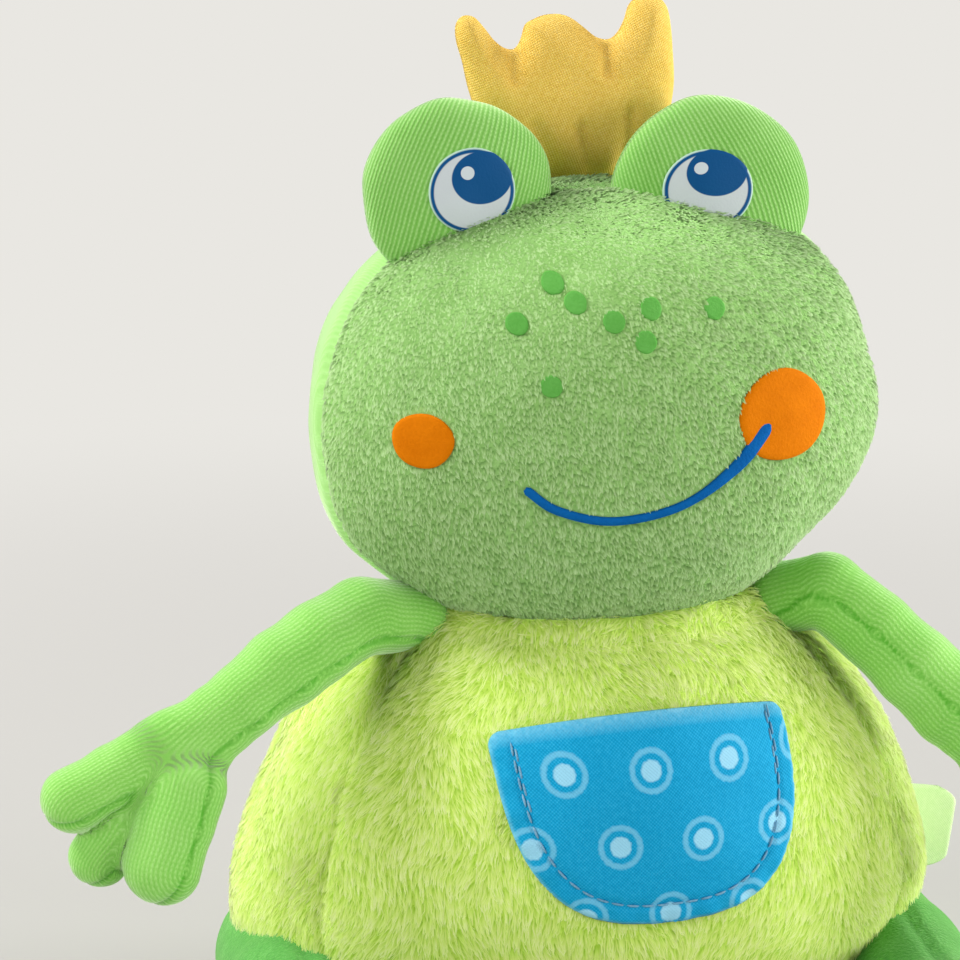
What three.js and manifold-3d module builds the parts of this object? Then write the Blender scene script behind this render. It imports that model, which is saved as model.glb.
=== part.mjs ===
// A sitting plush frog with a stuffed crown, a patch pocket, soft arms and soft legs.
// Lengths are millimetres, angles are degrees. +Z is up, the frog faces -Y, and left and right are
// as seen by someone who looks at its face. The origin is the centre of the flat seat.
import * as THREE from 'three';
import { mergeVertices } from 'three/addons/utils/BufferGeometryUtils.js';
import Module from 'manifold-3d';

const wasm = await Module();
wasm.setup();

// Cloth and gaps
const clothThickness = 2;
const thinClothThickness = 0.5;
const touchGap = 0.3;
const sweepGap = 1.6;
const socketGap = 0.8;
const weldTolerance = 0.0005;
const overrun = 200;

// Body: a pear with its widest girth low down
const bodyHalfWidth = 83.5;
const bodyHalfDepth = 71.5;
const girthHeight = 52;
const neckHeight = 112;
const seatSink = 4;
const domeOvershoot = 19;
const basePanelHeight = 13;
const frontSeamBearing = 58;
const sideSeamBearing = 96;
const pelletBagRadius = 40;
const pelletBagHeight = 17;
const pelletBagCrown = 5;

// Head: a wide egg, rolled to one side
const headHalfWidth = 69.5;
const headHalfDepth = 52;
const headHalfHeight = 56;
const headSink = 5.6;
const headForward = 12;
const headAside = 1;
const headRoll = 4;
const headSeamForward = 8.5;
const neckPivotForward = 10;
const neckWadRadius = 15;

// Eye bumps: flat round pads sewn into the head seam. Their places are shares of the head's
// half-width and of their own radius.
const eyeHalfThickness = 9;
const eyes = {
  left: { radius: 23, acrossShare: -0.47, riseShare: 0.278 },
  right: { radius: 24.3, acrossShare: 0.42, riseShare: -0.033 },
};
const eyePrints = {
  left: { radius: 10.7, asideShare: 0.087, upShare: 0.078 },
  right: { radius: 11.4, asideShare: -0.107, upShare: 0.152 },
};

// Face prints: places across and up from the middle of the head, as shares of its half-sizes
const freckleRadius = 2.75;
const freckleShares = [
  [-0.246, 0.636],
  [-0.186, 0.555],
  [-0.386, 0.488],
  [-0.071, 0.47],
  [0.062, 0.507],
  [0.289, 0.477],
  [0.026, 0.38],
  [-0.302, 0.232],
];
const cheeks = {
  small: { radius: 7.1, acrossShare: -0.722, upShare: 0.03 },
  large: { radius: 12, acrossShare: 0.486, upShare: 0.013 },
};
const mouthWidth = 56;
const mouthDrop = 20;
const mouthLineWidth = 2.4;
const mouthEndWidth = 4.4;

// Crown: three prongs over a narrow gathered base
const crownHalfWidth = 26.5;
const crownHeight = 40.5;
const crownHalfThickness = 7;
const crownBaseRadius = 3.6;
const crownBaseHalfWidth = 5;
const crownAcross = 2.8;
const crownBehind = 10;
const crownLean = 5.4;

// Pocket: a half-oval patch, sewn down at its sides and bottom
const pocketHalfWidth = 36.5;
const pocketDepth = 44.5;
const pocketTopHeight = 92.2;
const pocketAside = 1.6;
const pocketTilt = 2.8;
const pocketThickness = 1;
const pocketStandOff = 0.9;
const pocketGape = 8.5;
const stitchInset = 5;
const stitchThickness = 0.8;

// Label in the side seam
const labelLength = 16.5;
const labelWidth = 21;
const labelHeight = 48;
const labelThickness = 0.8;
const labelSlant = 4;

// Arms
const shoulderOut = 46;
const shoulderForward = 20;
const shoulderHeight = 110;
const shoulderRadius = 9.5;
const shoulderWadRadius = 5;
const armLength = 90.4;
const armRadius = 9.5;
const fingerLength = 23;
const fingerRadius = 8;
const rightArmDroop = 9;

// Legs
const hipOut = 73;
const hipBehind = 8;
const legLength = 112;
const thighRadius = 20;
const footHalfWidth = 20;
const toeLength = 22;
const toeRadius = 8.5;
const restFlat = 0.5;

// How far each joint moves
const turnLimit = 20;
const nodForwardLimit = 12;
const nodBackLimit = 10;
const armSwingLimit = 15;
const armRaiseLimit = 25;
const armLowerLimit = 8;
const legSplayLimit = 35;

// How many flat sides round shapes have
const formSides = 24;
const hollowSides = 12;
const sweepSides = 18;
const ballSides = 18;
const wadSides = 14;
const padSides = 14;
const smallPadSides = 10;
const limbSides = 8;
const digitSides = 6;
const discSteps = 8;
const dotSteps = 4;

// Places that follow from the sizes above
const bowlDepth = girthHeight + seatSink;
const domeHeight = neckHeight - girthHeight + domeOvershoot;
const domeFullness = 1.8;
const headCentre = new THREE.Vector3(headAside, -headForward, neckHeight - headSink + headHalfHeight);
const neckPivot = new THREE.Vector3(0, -neckPivotForward, neckHeight);
const radians = THREE.MathUtils.degToRad;
const origin = new THREE.Vector3();
const upward = new THREE.Vector3(0, 0, 1);
const backward = new THREE.Vector3(0, 1, 0);
const forward = new THREE.Vector3(0, -1, 0);

const cloth = (color, roughness) => new THREE.MeshStandardMaterial({ color, roughness, metalness: 0 });
const materials = {
  bodyPlush: cloth('#c3e35c', 0.95),
  headPile: cloth('#7fca62', 0.95),
  headJersey: cloth('#93d872', 0.9),
  armJersey: cloth('#84d063', 0.9),
  eyeKnit: cloth('#82cf5e', 0.9),
  legVelour: cloth('#6cc160', 0.95),
  crownCotton: cloth('#e6c558', 0.85),
  pocketCotton: cloth('#1f93cb', 0.85),
  thread: cloth('#7ab4dc', 0.7),
  labelSatin: cloth('#d9efb4', 0.6),
  bluePrint: cloth('#0f5fb4', 0.6),
  orangeFelt: cloth('#e5790c', 0.85),
  freckleFelt: cloth('#4fae50', 0.85),
  eyePrint: cloth('#bcc8d0', 0.6),
  stuffing: cloth('#f2f0ea', 1),
  bagCotton: cloth('#e8e2d2', 0.9),
};

// Turns a closed geometry into a solid that can be joined and cut.
function solid(geometry) {
  const bare = geometry.clone();
  bare.deleteAttribute('normal');
  bare.deleteAttribute('uv');
  const merged = mergeVertices(bare, weldTolerance);
  const corners = merged.index.array;
  const kept = [];
  for (let i = 0; i < corners.length; i += 3) {
    const [a, b, c] = [corners[i], corners[i + 1], corners[i + 2]];
    if (a !== b && b !== c && c !== a) kept.push(a, b, c);
  }
  const vertProperties = Float32Array.from(merged.attributes.position.array);
  return new wasm.Manifold(new wasm.Mesh({ numProp: 3, vertProperties, triVerts: Uint32Array.from(kept) }));
}

const joined = (bodies) => bodies.reduce((all, next) => all.add(next));

// Makes a named mesh of a solid.
function piece(name, body, material) {
  const { vertProperties, triVerts } = body.getMesh();
  const geometry = new THREE.BufferGeometry();
  geometry.setAttribute('position', new THREE.BufferAttribute(Float32Array.from(vertProperties), 3));
  geometry.setIndex(new THREE.BufferAttribute(Uint32Array.from(triVerts), 1));
  geometry.computeVertexNormals();
  const mesh = new THREE.Mesh(geometry, material);
  mesh.name = name;
  return mesh;
}

// Turns a geometry about a line through a point.
function turned(geometry, pivot, axis, degrees) {
  const matrix = new THREE.Matrix4().makeTranslation(pivot.x, pivot.y, pivot.z);
  matrix.multiply(new THREE.Matrix4().makeRotationAxis(axis, radians(degrees)));
  matrix.multiply(new THREE.Matrix4().makeTranslation(-pivot.x, -pivot.y, -pivot.z));
  return geometry.clone().applyMatrix4(matrix);
}

// The mirror image across the plane between left and right, with its faces still pointing out.
function mirrored(geometry) {
  const image = mergeVertices(geometry.clone().scale(-1, 1, 1), weldTolerance);
  const corners = image.index.array;
  for (let i = 0; i < corners.length; i += 3) {
    [corners[i], corners[i + 1]] = [corners[i + 1], corners[i]];
  }
  return image;
}

// A ball round a point.
function ball(centre, radius, sides) {
  const geometry = new THREE.SphereGeometry(radius, sides, Math.round(sides / 2));
  return geometry.rotateX(radians(90)).translate(centre.x, centre.y, centre.z);
}

// A block that fills the space in front of a plane: everything on the side that the normal points to.
function halfSpace(point, normal) {
  const geometry = new THREE.BoxGeometry(2 * overrun, 2 * overrun, overrun).translate(0, 0, overrun / 2);
  geometry.applyQuaternion(new THREE.Quaternion().setFromUnitVectors(upward, normal));
  return geometry.translate(point.x, point.y, point.z);
}

// The body: a lathe profile with a full dome above the girth and a round bowl below it, cut flat at
// the seat and squeezed from front to back. A positive growth makes it larger all round.
function bodyForm(growth, sides) {
  const rows = Math.round(sides / 4);
  const seat = -Math.min(growth, 0);
  const width = bodyHalfWidth + growth;
  const seatAngle = Math.asin((girthHeight - seat) / (bowlDepth + growth));
  const profile = [new THREE.Vector2(0, seat)];
  for (let i = rows; i > 0; i -= 1) {
    const angle = (seatAngle * i) / rows;
    const height = girthHeight - (bowlDepth + growth) * Math.sin(angle);
    profile.push(new THREE.Vector2(width * Math.cos(angle), height));
  }
  for (let i = 0; i < rows; i += 1) {
    const angle = radians((90 * i) / rows);
    const out = Math.cos(angle) ** (2 / domeFullness);
    const up = Math.sin(angle) ** (2 / domeFullness);
    profile.push(new THREE.Vector2(width * out, girthHeight + (domeHeight + growth) * up));
  }
  profile.push(new THREE.Vector2(0, girthHeight + domeHeight + growth));
  const geometry = new THREE.LatheGeometry(profile, sides).rotateX(radians(90));
  return geometry.scale(1, (bodyHalfDepth + growth) / width, 1);
}

// How far forward the front of the body reaches at a place across and up.
function bellyReach(across, up) {
  const rise = Math.max(up - girthHeight, 0) / domeHeight;
  const fall = Math.max(girthHeight - up, 0) / bowlDepth;
  const reach = (1 - rise ** domeFullness) ** (1 / domeFullness) * Math.sqrt(1 - fall ** 2);
  return bodyHalfDepth * Math.sqrt(Math.max(reach ** 2 - (across / bodyHalfWidth) ** 2, 0));
}

// The head in its own frame, with its middle at zero.
function headForm(growth, sides) {
  const geometry = ball(origin, 1, sides);
  return geometry.scale(headHalfWidth + growth, headHalfDepth + growth, headHalfHeight + growth);
}

// Height of the head's surface above its middle.
function headTop(across, behind) {
  return headHalfHeight * Math.sqrt(1 - (across / headHalfWidth) ** 2 - (behind / headHalfDepth) ** 2);
}

const headMatrix = new THREE.Matrix4().makeTranslation(headCentre.x, headCentre.y, headCentre.z);
headMatrix.multiply(new THREE.Matrix4().makeRotationY(radians(-headRoll)));

// The dish under the head: an oval bowl that holds the head however it nods and turns
const dishTurnRoom = (headHalfWidth - headHalfDepth) * Math.sin(radians(2 * turnLimit));
const dishNodRoom = (headHalfDepth * Math.sin(radians(nodForwardLimit))) / 2;
const neckDish = ball(origin, 1, formSides);
neckDish.scale(
  headHalfWidth + sweepGap,
  headHalfDepth + dishTurnRoom,
  headHalfHeight + dishNodRoom,
);
neckDish.applyMatrix4(headMatrix);

// A limb: a lathe profile with round ends, bent along a smooth path. Each station holds a point, the
// half-width across the limb and the half-thickness along the direction called flat.
function limbForm(stations, flat, growth, sides, steps) {
  const path = new THREE.CatmullRomCurve3(stations.map((station) => station.point));
  const sizes = new THREE.CatmullRomCurve3(
    stations.map((station) => new THREE.Vector3(station.width + growth, station.thickness + growth, 0)),
  );
  const profile = [];
  const capSteps = 2;
  for (let i = capSteps; i > 0; i -= 1) {
    const angle = radians((90 * i) / capSteps);
    profile.push(new THREE.Vector2(Math.cos(angle), -Math.sin(angle)));
  }
  for (let i = 0; i <= steps; i += 1) profile.push(new THREE.Vector2(1, i / steps));
  for (let i = 1; i <= capSteps; i += 1) {
    const angle = radians((90 * i) / capSteps);
    profile.push(new THREE.Vector2(Math.cos(angle), 1 + Math.sin(angle)));
  }
  profile[0].x = 0;
  profile[profile.length - 1].x = 0;
  const geometry = new THREE.LatheGeometry(profile, sides);
  const place = geometry.attributes.position;
  for (let i = 0; i < place.count; i += 1) {
    const along = THREE.MathUtils.clamp(place.getY(i), 0, 1);
    const size = sizes.getPoint(along);
    const tangent = path.getTangent(along);
    const across = new THREE.Vector3().crossVectors(tangent, flat).normalize();
    const through = new THREE.Vector3().crossVectors(across, tangent);
    const point = path.getPoint(along);
    point.addScaledVector(tangent, (place.getY(i) - along) * Math.min(size.x, size.y));
    point.addScaledVector(across, place.getX(i) * size.x);
    point.addScaledVector(through, place.getZ(i) * size.y);
    place.setXYZ(i, point.x, point.y, point.z);
  }
  return geometry;
}

// The next point of a path: a step of a given length, towards a bearing from the front and a dip.
function stepFrom(point, length, bearing, dip) {
  const flatLength = length * Math.cos(radians(dip));
  return new THREE.Vector3(
    point.x - flatLength * Math.sin(radians(bearing)),
    point.y - flatLength * Math.cos(radians(bearing)),
    point.z - length * Math.sin(radians(dip)),
  );
}

// Head, in its own frame
const head = new THREE.Group();
head.position.copy(headCentre);
head.rotation.y = radians(-headRoll);
const neckInHead = neckPivot.clone().applyMatrix4(headMatrix.clone().invert());
const neckHole = solid(ball(neckInHead, neckWadRadius + socketGap, ballSides));
const headSeam = new THREE.Vector3(0, -headSeamForward, 0);
const headInner = solid(headForm(-clothThickness, hollowSides));
const headShell = solid(headForm(0, formSides)).subtract(headInner).subtract(neckHole);
const inFront = (point) => solid(halfSpace(point.clone().addScaledVector(forward, touchGap / 2), forward));
const behindOf = (point) => solid(halfSpace(point.clone().addScaledVector(backward, touchGap / 2), backward));
head.add(piece('head_front_cover', headShell.intersect(inFront(headSeam)), materials.headPile));
head.add(piece('head_back_cover', headShell.intersect(behindOf(headSeam)), materials.headJersey));
const headStuffing = solid(headForm(-clothThickness - touchGap, hollowSides)).subtract(neckHole);
head.add(piece('head_stuffing', headStuffing, materials.stuffing));

// A flat shape that stands up in the plane between left and right, run forward to meet a surface.
function stamped(shape, curveSegments) {
  const geometry = new THREE.ExtrudeGeometry(shape, { depth: overrun, bevelEnabled: false, curveSegments });
  return geometry.rotateX(radians(90));
}

// A round stamp that reaches forward from the plane between left and right.
function disc(across, up, radius, curveSegments) {
  const shape = new THREE.Shape();
  shape.absarc(across, up, radius, 0, 2 * Math.PI, false);
  return solid(stamped(shape, curveSegments));
}

// The line of the mouth: points across and up as shares of its width and drop, with its half-widths.
function mouthShape(extra) {
  const [startAcross, startUp] = [-mouthWidth / 2, -mouthDrop / 2];
  const lineShares = [
    [0, 0, 0],
    [0.13, -0.29, 0],
    [0.36, -0.47, 0],
    [0.62, -0.37, 0.05],
    [0.86, 0.03, 0.3],
    [1.02, 0.49, 1],
  ];
  const line = new THREE.SplineCurve(
    lineShares.map(([x, y]) => new THREE.Vector2(startAcross + x * mouthWidth, startUp + y * mouthDrop)),
  );
  const thickening = new THREE.SplineCurve(lineShares.map(([, , share], i) => new THREE.Vector2(i, share)));
  const steps = 14;
  const sides = [[], []];
  for (let i = 0; i <= steps; i += 1) {
    const point = line.getPoint(i / steps);
    const tangent = line.getTangent(i / steps);
    const share = thickening.getPoint(i / steps).y;
    const half = (mouthLineWidth + (mouthEndWidth - mouthLineWidth) * share) / 2 + extra;
    sides[0].push(new THREE.Vector2(point.x + tangent.y * half, point.y - tangent.x * half));
    sides[1].unshift(new THREE.Vector2(point.x - tangent.y * half, point.y + tangent.x * half));
  }
  const tip = line.getPoint(1).addScaledVector(line.getTangent(1), mouthEndWidth / 2 + extra);
  return new THREE.Shape([...sides[0], tip, ...sides[1]]);
}

const headClear = solid(headForm(touchGap, formSides));
const printLayer = solid(headForm(touchGap + thinClothThickness, formSides)).subtract(headClear);
const mouth = solid(stamped(mouthShape(0), discSteps));
const mouthRoom = solid(stamped(mouthShape(touchGap), discSteps));
freckleShares.forEach(([acrossShare, upShare], i) => {
  const stamp = disc(acrossShare * headHalfWidth, upShare * headHalfHeight, freckleRadius, dotSteps);
  head.add(piece(`freckle_${i + 1}`, printLayer.intersect(stamp), materials.freckleFelt));
});
for (const [size, { radius, acrossShare, upShare }] of Object.entries(cheeks)) {
  const stamp = disc(acrossShare * headHalfWidth, upShare * headHalfHeight, radius, discSteps);
  head.add(piece(`cheek_${size}`, printLayer.intersect(stamp).subtract(mouthRoom), materials.orangeFelt));
}
head.add(piece('mouth', printLayer.intersect(mouth), materials.bluePrint));

// Eye bumps: lens-shaped pads that stand in the head seam, each of two ribbed panels and stuffing
for (const [side, eye] of Object.entries(eyes)) {
  const middle = new THREE.Vector3(eye.acrossShare * headHalfWidth, -headSeamForward, 0);
  middle.z = headTop(middle.x, headSeamForward) + eye.riseShare * eye.radius;
  const pad = (growth, sides) => {
    const geometry = ball(origin, 1, sides);
    geometry.scale(eye.radius + growth, eyeHalfThickness + growth, eye.radius + growth);
    return solid(geometry.translate(middle.x, middle.y, middle.z));
  };
  const shell = pad(0, padSides).subtract(pad(-clothThickness, smallPadSides)).subtract(headClear);
  head.add(piece(`eye_front_${side}`, shell.intersect(inFront(headSeam)), materials.eyeKnit));
  head.add(piece(`eye_back_${side}`, shell.intersect(behindOf(headSeam)), materials.eyeKnit));
  const padStuffing = pad(-clothThickness - touchGap, smallPadSides).subtract(headClear);
  head.add(piece(`eye_stuffing_${side}`, padStuffing, materials.stuffing));
  const covering = pad(touchGap + thinClothThickness, padSides).subtract(pad(touchGap, padSides));
  const layer = covering.subtract(headClear).intersect(inFront(headSeam));
  const print = eyePrints[side];
  const stampAcross = middle.x + print.asideShare * eye.radius;
  const stampUp = middle.z + print.upShare * eye.radius;
  const stamp = disc(stampAcross, stampUp, print.radius, discSteps);
  head.add(piece(`eye_print_${side}`, layer.intersect(stamp), materials.eyePrint));
}

// Crown, in its own frame: its base turns about a line just above the top of the head
const crown = new THREE.Group();
crown.position.set(crownAcross, crownBehind, headTop(crownAcross, crownBehind) + touchGap + crownBaseRadius);
crown.rotation.y = radians(-crownLean);

// The crown's outline, as shares of its half-width and height, from the base round to the base.
function crownShape() {
  const shape = new THREE.Shape();
  const at = (x, y) => [x * crownHalfWidth, y * crownHeight];
  shape.moveTo(...at(-0.2, -0.04));
  shape.quadraticCurveTo(...at(-0.8, 0.1), ...at(-0.95, 0.42));
  shape.lineTo(...at(-1, 0.78));
  shape.quadraticCurveTo(...at(-0.98, 1), ...at(-0.82, 0.98));
  shape.quadraticCurveTo(...at(-0.68, 0.8), ...at(-0.47, 0.74));
  shape.quadraticCurveTo(...at(-0.28, 0.9), ...at(-0.14, 0.92));
  shape.quadraticCurveTo(...at(0.02, 0.98), ...at(0.14, 0.88));
  shape.quadraticCurveTo(...at(0.28, 0.74), ...at(0.43, 0.7));
  shape.quadraticCurveTo(...at(0.66, 0.74), ...at(0.82, 0.92));
  shape.quadraticCurveTo(...at(0.98, 0.96), ...at(1.02, 0.78));
  shape.lineTo(...at(0.93, 0.4));
  shape.quadraticCurveTo(...at(0.78, 0.1), ...at(0.2, -0.04));
  return shape;
}

const pillowWidthShare = 1.5;
const pillowHeightShare = 0.9;
const crownPillow = ball(origin, 1, formSides);
crownPillow.scale(pillowWidthShare * crownHalfWidth, crownHalfThickness, pillowHeightShare * crownHeight);
crownPillow.translate(0, 0, crownHeight / 2);
const crownOutline = stamped(crownShape(), 3).translate(0, overrun / 2, 0);
const crownBase = ball(origin, 1, smallPadSides);
crownBase.scale(crownBaseHalfWidth, crownBaseRadius, crownBaseRadius);
const coreHeightShare = 0.4;
const crownCore = (growth) => {
  const geometry = ball(origin, 1, smallPadSides);
  geometry.scale(crownHalfWidth / 2 + growth, crownHalfThickness / 2 + growth, crownHeight / 4 + growth);
  return solid(geometry.translate(0, 0, coreHeightShare * crownHeight));
};
const crownPad = solid(crownOutline).intersect(solid(crownPillow));
const crownOuter = crownPad.add(solid(crownBase)).subtract(crownCore(touchGap));
crown.add(piece('crown_front_panel', crownOuter.intersect(inFront(origin)), materials.crownCotton));
crown.add(piece('crown_back_panel', crownOuter.intersect(behindOf(origin)), materials.crownCotton));
crown.add(piece('crown_stuffing', crownCore(0), materials.stuffing));
head.add(crown);

// Body: four standing panels and a base round the stuffing, open at the neck
const body = new THREE.Group();
const shoulder = {
  left: new THREE.Vector3(-shoulderOut, -shoulderForward, shoulderHeight),
  right: new THREE.Vector3(shoulderOut, -shoulderForward, shoulderHeight),
};
const hipHeight = thighRadius - restFlat;
const hip = {
  left: new THREE.Vector3(-hipOut, hipBehind, hipHeight),
  right: new THREE.Vector3(hipOut, hipBehind, hipHeight),
};
const sockets = joined([
  solid(neckDish),
  solid(ball(neckPivot, neckWadRadius + socketGap, ballSides)),
  solid(ball(shoulder.left, shoulderRadius + socketGap, ballSides)),
  solid(ball(shoulder.right, shoulderRadius + socketGap, ballSides)),
  solid(ball(hip.left, thighRadius + socketGap, ballSides)),
  solid(ball(hip.right, thighRadius + socketGap, ballSides)),
]);
const bodyInner = solid(bodyForm(-clothThickness, hollowSides));
const neckRadius = shoulderOut + clothThickness;
const neckOpening = new THREE.CylinderGeometry(neckRadius, neckRadius, overrun, formSides);
neckOpening.rotateX(radians(90)).scale(1, bodyHalfDepth / bodyHalfWidth, 1);
neckOpening.translate(0, 0, girthHeight + overrun / 2);
const bodyOpenings = sockets.add(solid(neckOpening));
const bodyShell = solid(bodyForm(0, formSides)).subtract(bodyInner).subtract(bodyOpenings);
const baseTop = new THREE.Vector3(0, 0, basePanelHeight);
const standingFoot = new THREE.Vector3(0, 0, basePanelHeight + touchGap);
const standing = bodyShell.intersect(solid(halfSpace(standingFoot, upward)));

// The part of the standing shell between two bearings, counted from the front towards the right.
function panel(from, to) {
  const start = new THREE.Vector3(Math.cos(radians(from)), Math.sin(radians(from)), 0);
  const end = new THREE.Vector3(-Math.cos(radians(to)), -Math.sin(radians(to)), 0);
  const startSide = solid(halfSpace(start.clone().multiplyScalar(touchGap / 2), start));
  const endSide = solid(halfSpace(end.clone().multiplyScalar(touchGap / 2), end));
  return standing.intersect(startSide).intersect(endSide);
}

body.add(piece('body_front_panel', panel(-frontSeamBearing, frontSeamBearing), materials.bodyPlush));
body.add(piece('body_side_panel_left', panel(-sideSeamBearing, -frontSeamBearing), materials.bodyPlush));
body.add(piece('body_side_panel_right', panel(frontSeamBearing, sideSeamBearing), materials.bodyPlush));
body.add(piece('body_back_panel', panel(sideSeamBearing, 360 - sideSeamBearing), materials.bodyPlush));
const basePanel = bodyShell.intersect(solid(halfSpace(baseTop, upward.clone().negate())));
body.add(piece('body_base_panel', basePanel, materials.bodyPlush));

// A bag of pellets lies on the base, under the stuffing, and steadies the seat
function pelletBagForm(growth) {
  const bagFloor = clothThickness + touchGap - growth;
  const height = pelletBagHeight + 2 * growth;
  const radius = pelletBagRadius + growth;
  const bagShares = [
    [0, 0],
    [0.58, 0],
    [0.93, 0.5],
    [0.58, 1],
  ];
  const profile = bagShares.map(([out, up]) => new THREE.Vector2(out * radius, bagFloor + up * height));
  profile.push(new THREE.Vector2(0, bagFloor + height + pelletBagCrown));
  const geometry = new THREE.LatheGeometry(profile, formSides).rotateX(radians(90));
  return geometry.scale(1, bodyHalfDepth / bodyHalfWidth, 1);
}
body.add(piece('pellet_bag', solid(pelletBagForm(0)), materials.bagCotton));
const stuffingForm = solid(bodyForm(-clothThickness - touchGap, hollowSides));
const bodyFilling = stuffingForm.subtract(sockets).subtract(solid(pelletBagForm(touchGap)));
body.add(piece('body_stuffing', bodyFilling, materials.stuffing));

const neckWad = solid(ball(neckPivot, neckWadRadius, ballSides));
body.add(piece('neck_wad', neckWad, materials.stuffing));

// Pocket outline: half an oval under a straight top edge, as shares of its half-width and depth.
const pocketFullness = 2.5;
function pocketOutline(inset) {
  const across = pocketHalfWidth - inset;
  const down = pocketDepth - inset;
  const points = [];
  const arcSteps = 16;
  for (let i = 0; i <= arcSteps; i += 1) {
    const angle = radians((180 * i) / arcSteps);
    const out = Math.sign(Math.cos(angle)) * Math.abs(Math.cos(angle)) ** (2 / pocketFullness);
    points.push(new THREE.Vector2(across * out, -down * Math.sin(angle) ** (2 / pocketFullness)));
  }
  return points;
}

// A place on the belly for a point of the pocket: it stands off most at the middle of the mouth.
function onBelly(x, y, lift) {
  const tilt = radians(pocketTilt);
  const across = pocketAside + x * Math.cos(tilt) - y * Math.sin(tilt);
  const up = pocketTopHeight + x * Math.sin(tilt) + y * Math.cos(tilt);
  const depthShare = Math.min(-y / pocketDepth, 1);
  const halfWidth = pocketHalfWidth * (1 - Math.max(depthShare, 0) ** pocketFullness) ** (1 / pocketFullness);
  const acrossShare = Math.min(Math.abs(x) / Math.max(halfWidth, Number.EPSILON), 1);
  const gape = pocketGape * (1 - acrossShare ** 2) * (1 - depthShare);
  return new THREE.Vector3(across, -bellyReach(across, up) - pocketStandOff - gape - lift, up);
}

// The patch: rings that run from the middle of the pocket out to its outline, inside and outside.
function pocketForm() {
  const arc = pocketOutline(0);
  const topSteps = 6;
  for (let i = 1; i < topSteps; i += 1) {
    arc.push(new THREE.Vector2(-pocketHalfWidth * (1 - (2 * i) / topSteps), 0));
  }
  const middleShare = 0.45;
  const centre = new THREE.Vector2(0, -pocketDepth * middleShare);
  const ringShares = [0, 0.35, 0.7, 1];
  const inner = ringShares.map((share) => new THREE.Vector2(share, 0));
  const outer = ringShares.map((share) => new THREE.Vector2(share, 1)).reverse();
  const geometry = new THREE.LatheGeometry([...inner, ...outer], arc.length);
  const place = geometry.attributes.position;
  for (let i = 0; i < place.count; i += 1) {
    const share = Math.hypot(place.getX(i), place.getZ(i));
    const turn = Math.atan2(place.getZ(i), place.getX(i)) / (2 * Math.PI);
    const corner = arc[(Math.round(turn * arc.length) + arc.length) % arc.length];
    const flat = centre.clone().lerp(corner, share);
    const point = onBelly(flat.x, flat.y, place.getY(i) * pocketThickness);
    place.setXYZ(i, point.x, point.y, point.z);
  }
  return geometry;
}
body.add(piece('pocket', solid(pocketForm()), materials.pocketCotton));

// The row of stitches, drawn as one raised thread
const stitchRow = pocketOutline(stitchInset)
  .map(({ x, y }) => onBelly(x, y - touchGap, pocketThickness + touchGap + stitchThickness / 2));
const stitchSection = new THREE.Shape();
stitchSection.absarc(0, 0, stitchThickness / 2, 0, 2 * Math.PI, false);
const stitching = new THREE.ExtrudeGeometry(stitchSection, {
  steps: 28,
  curveSegments: 2,
  extrudePath: new THREE.CatmullRomCurve3(stitchRow),
});
body.add(piece('pocket_stitching', solid(stitching), materials.thread));

// Label: a folded tape held in the side seam, hinged where it leaves the seam
const labelRun = new THREE.Vector3(Math.sin(radians(sideSeamBearing)), -Math.cos(radians(sideSeamBearing)), 0);
const labelFall = Math.sqrt(1 - ((labelHeight - girthHeight) / bowlDepth) ** 2);
const labelSeat = labelRun.clone().multiply(new THREE.Vector3(bodyHalfWidth, bodyHalfDepth, 0));
labelSeat.multiplyScalar(labelFall).addScaledVector(labelRun, 2 * touchGap).setZ(labelHeight);
const labelBlank = new THREE.BoxGeometry(labelLength, labelThickness, labelWidth);
labelBlank.translate(labelLength / 2, 0, 0).rotateY(radians(labelSlant));
labelBlank.rotateZ(radians(sideSeamBearing - 90)).translate(labelSeat.x, labelSeat.y, labelSeat.z);
const label = solid(labelBlank).subtract(solid(bodyForm(touchGap, formSides)));
body.add(piece('side_label', label, materials.labelSatin));

// The space that the body sweeps, seen from a limb that turns about its own pivot
const bodyClear = bodyForm(sweepGap, sweepSides);

// Arm, drawn for the left side: rows of length share, bearing, dip, width share and thickness share
const armShares = [
  [0.173, 56, -23, 0.95, 0.95],
  [0.16, 63, 22, 1, 1],
  [0.297, 71, 34, 1, 1],
  [0.116, 76, 38, 1.1, 0.95],
  [0.128, 77, 37, 1.35, 0.85],
  [0.126, 83, 45, 1, 0.75],
];
const palmRow = 5;
// Fingers: length share, bearing, dip and radius share
const fingerShares = [
  [0.97, 88, 11, 1],
  [1.05, 88, 53, 1],
  [0.98, 80, 81, 1.15],
];

const rootShare = 0.9;
const fingerFlatShare = 0.85;

function armForms(growth, withFingers) {
  const rootWidth = rootShare * shoulderRadius;
  const stations = [{ point: shoulder.left, width: rootWidth, thickness: rootWidth }];
  for (const [lengthShare, bearing, dip, widthShare, thicknessShare] of armShares) {
    const point = stepFrom(stations[stations.length - 1].point, lengthShare * armLength, bearing, dip);
    stations.push({ point, width: widthShare * armRadius, thickness: thicknessShare * armRadius });
  }
  if (!withFingers) return [limbForm(stations, forward, growth, digitSides, armShares.length)];
  const forms = [limbForm(stations, forward, growth, limbSides, armShares.length + 3)];
  const palm = stations[palmRow].point;
  for (const [lengthShare, bearing, dip, radiusShare] of fingerShares) {
    const width = fingerRadius * radiusShare;
    const thickness = fingerFlatShare * width;
    const tip = stepFrom(palm, lengthShare * fingerLength, bearing, dip);
    const finger = [palm, palm.clone().lerp(tip, 1 / 2), tip].map((point) => ({ point, width, thickness }));
    forms.push(limbForm(finger, forward, growth, digitSides, 1));
  }
  return forms;
}

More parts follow.
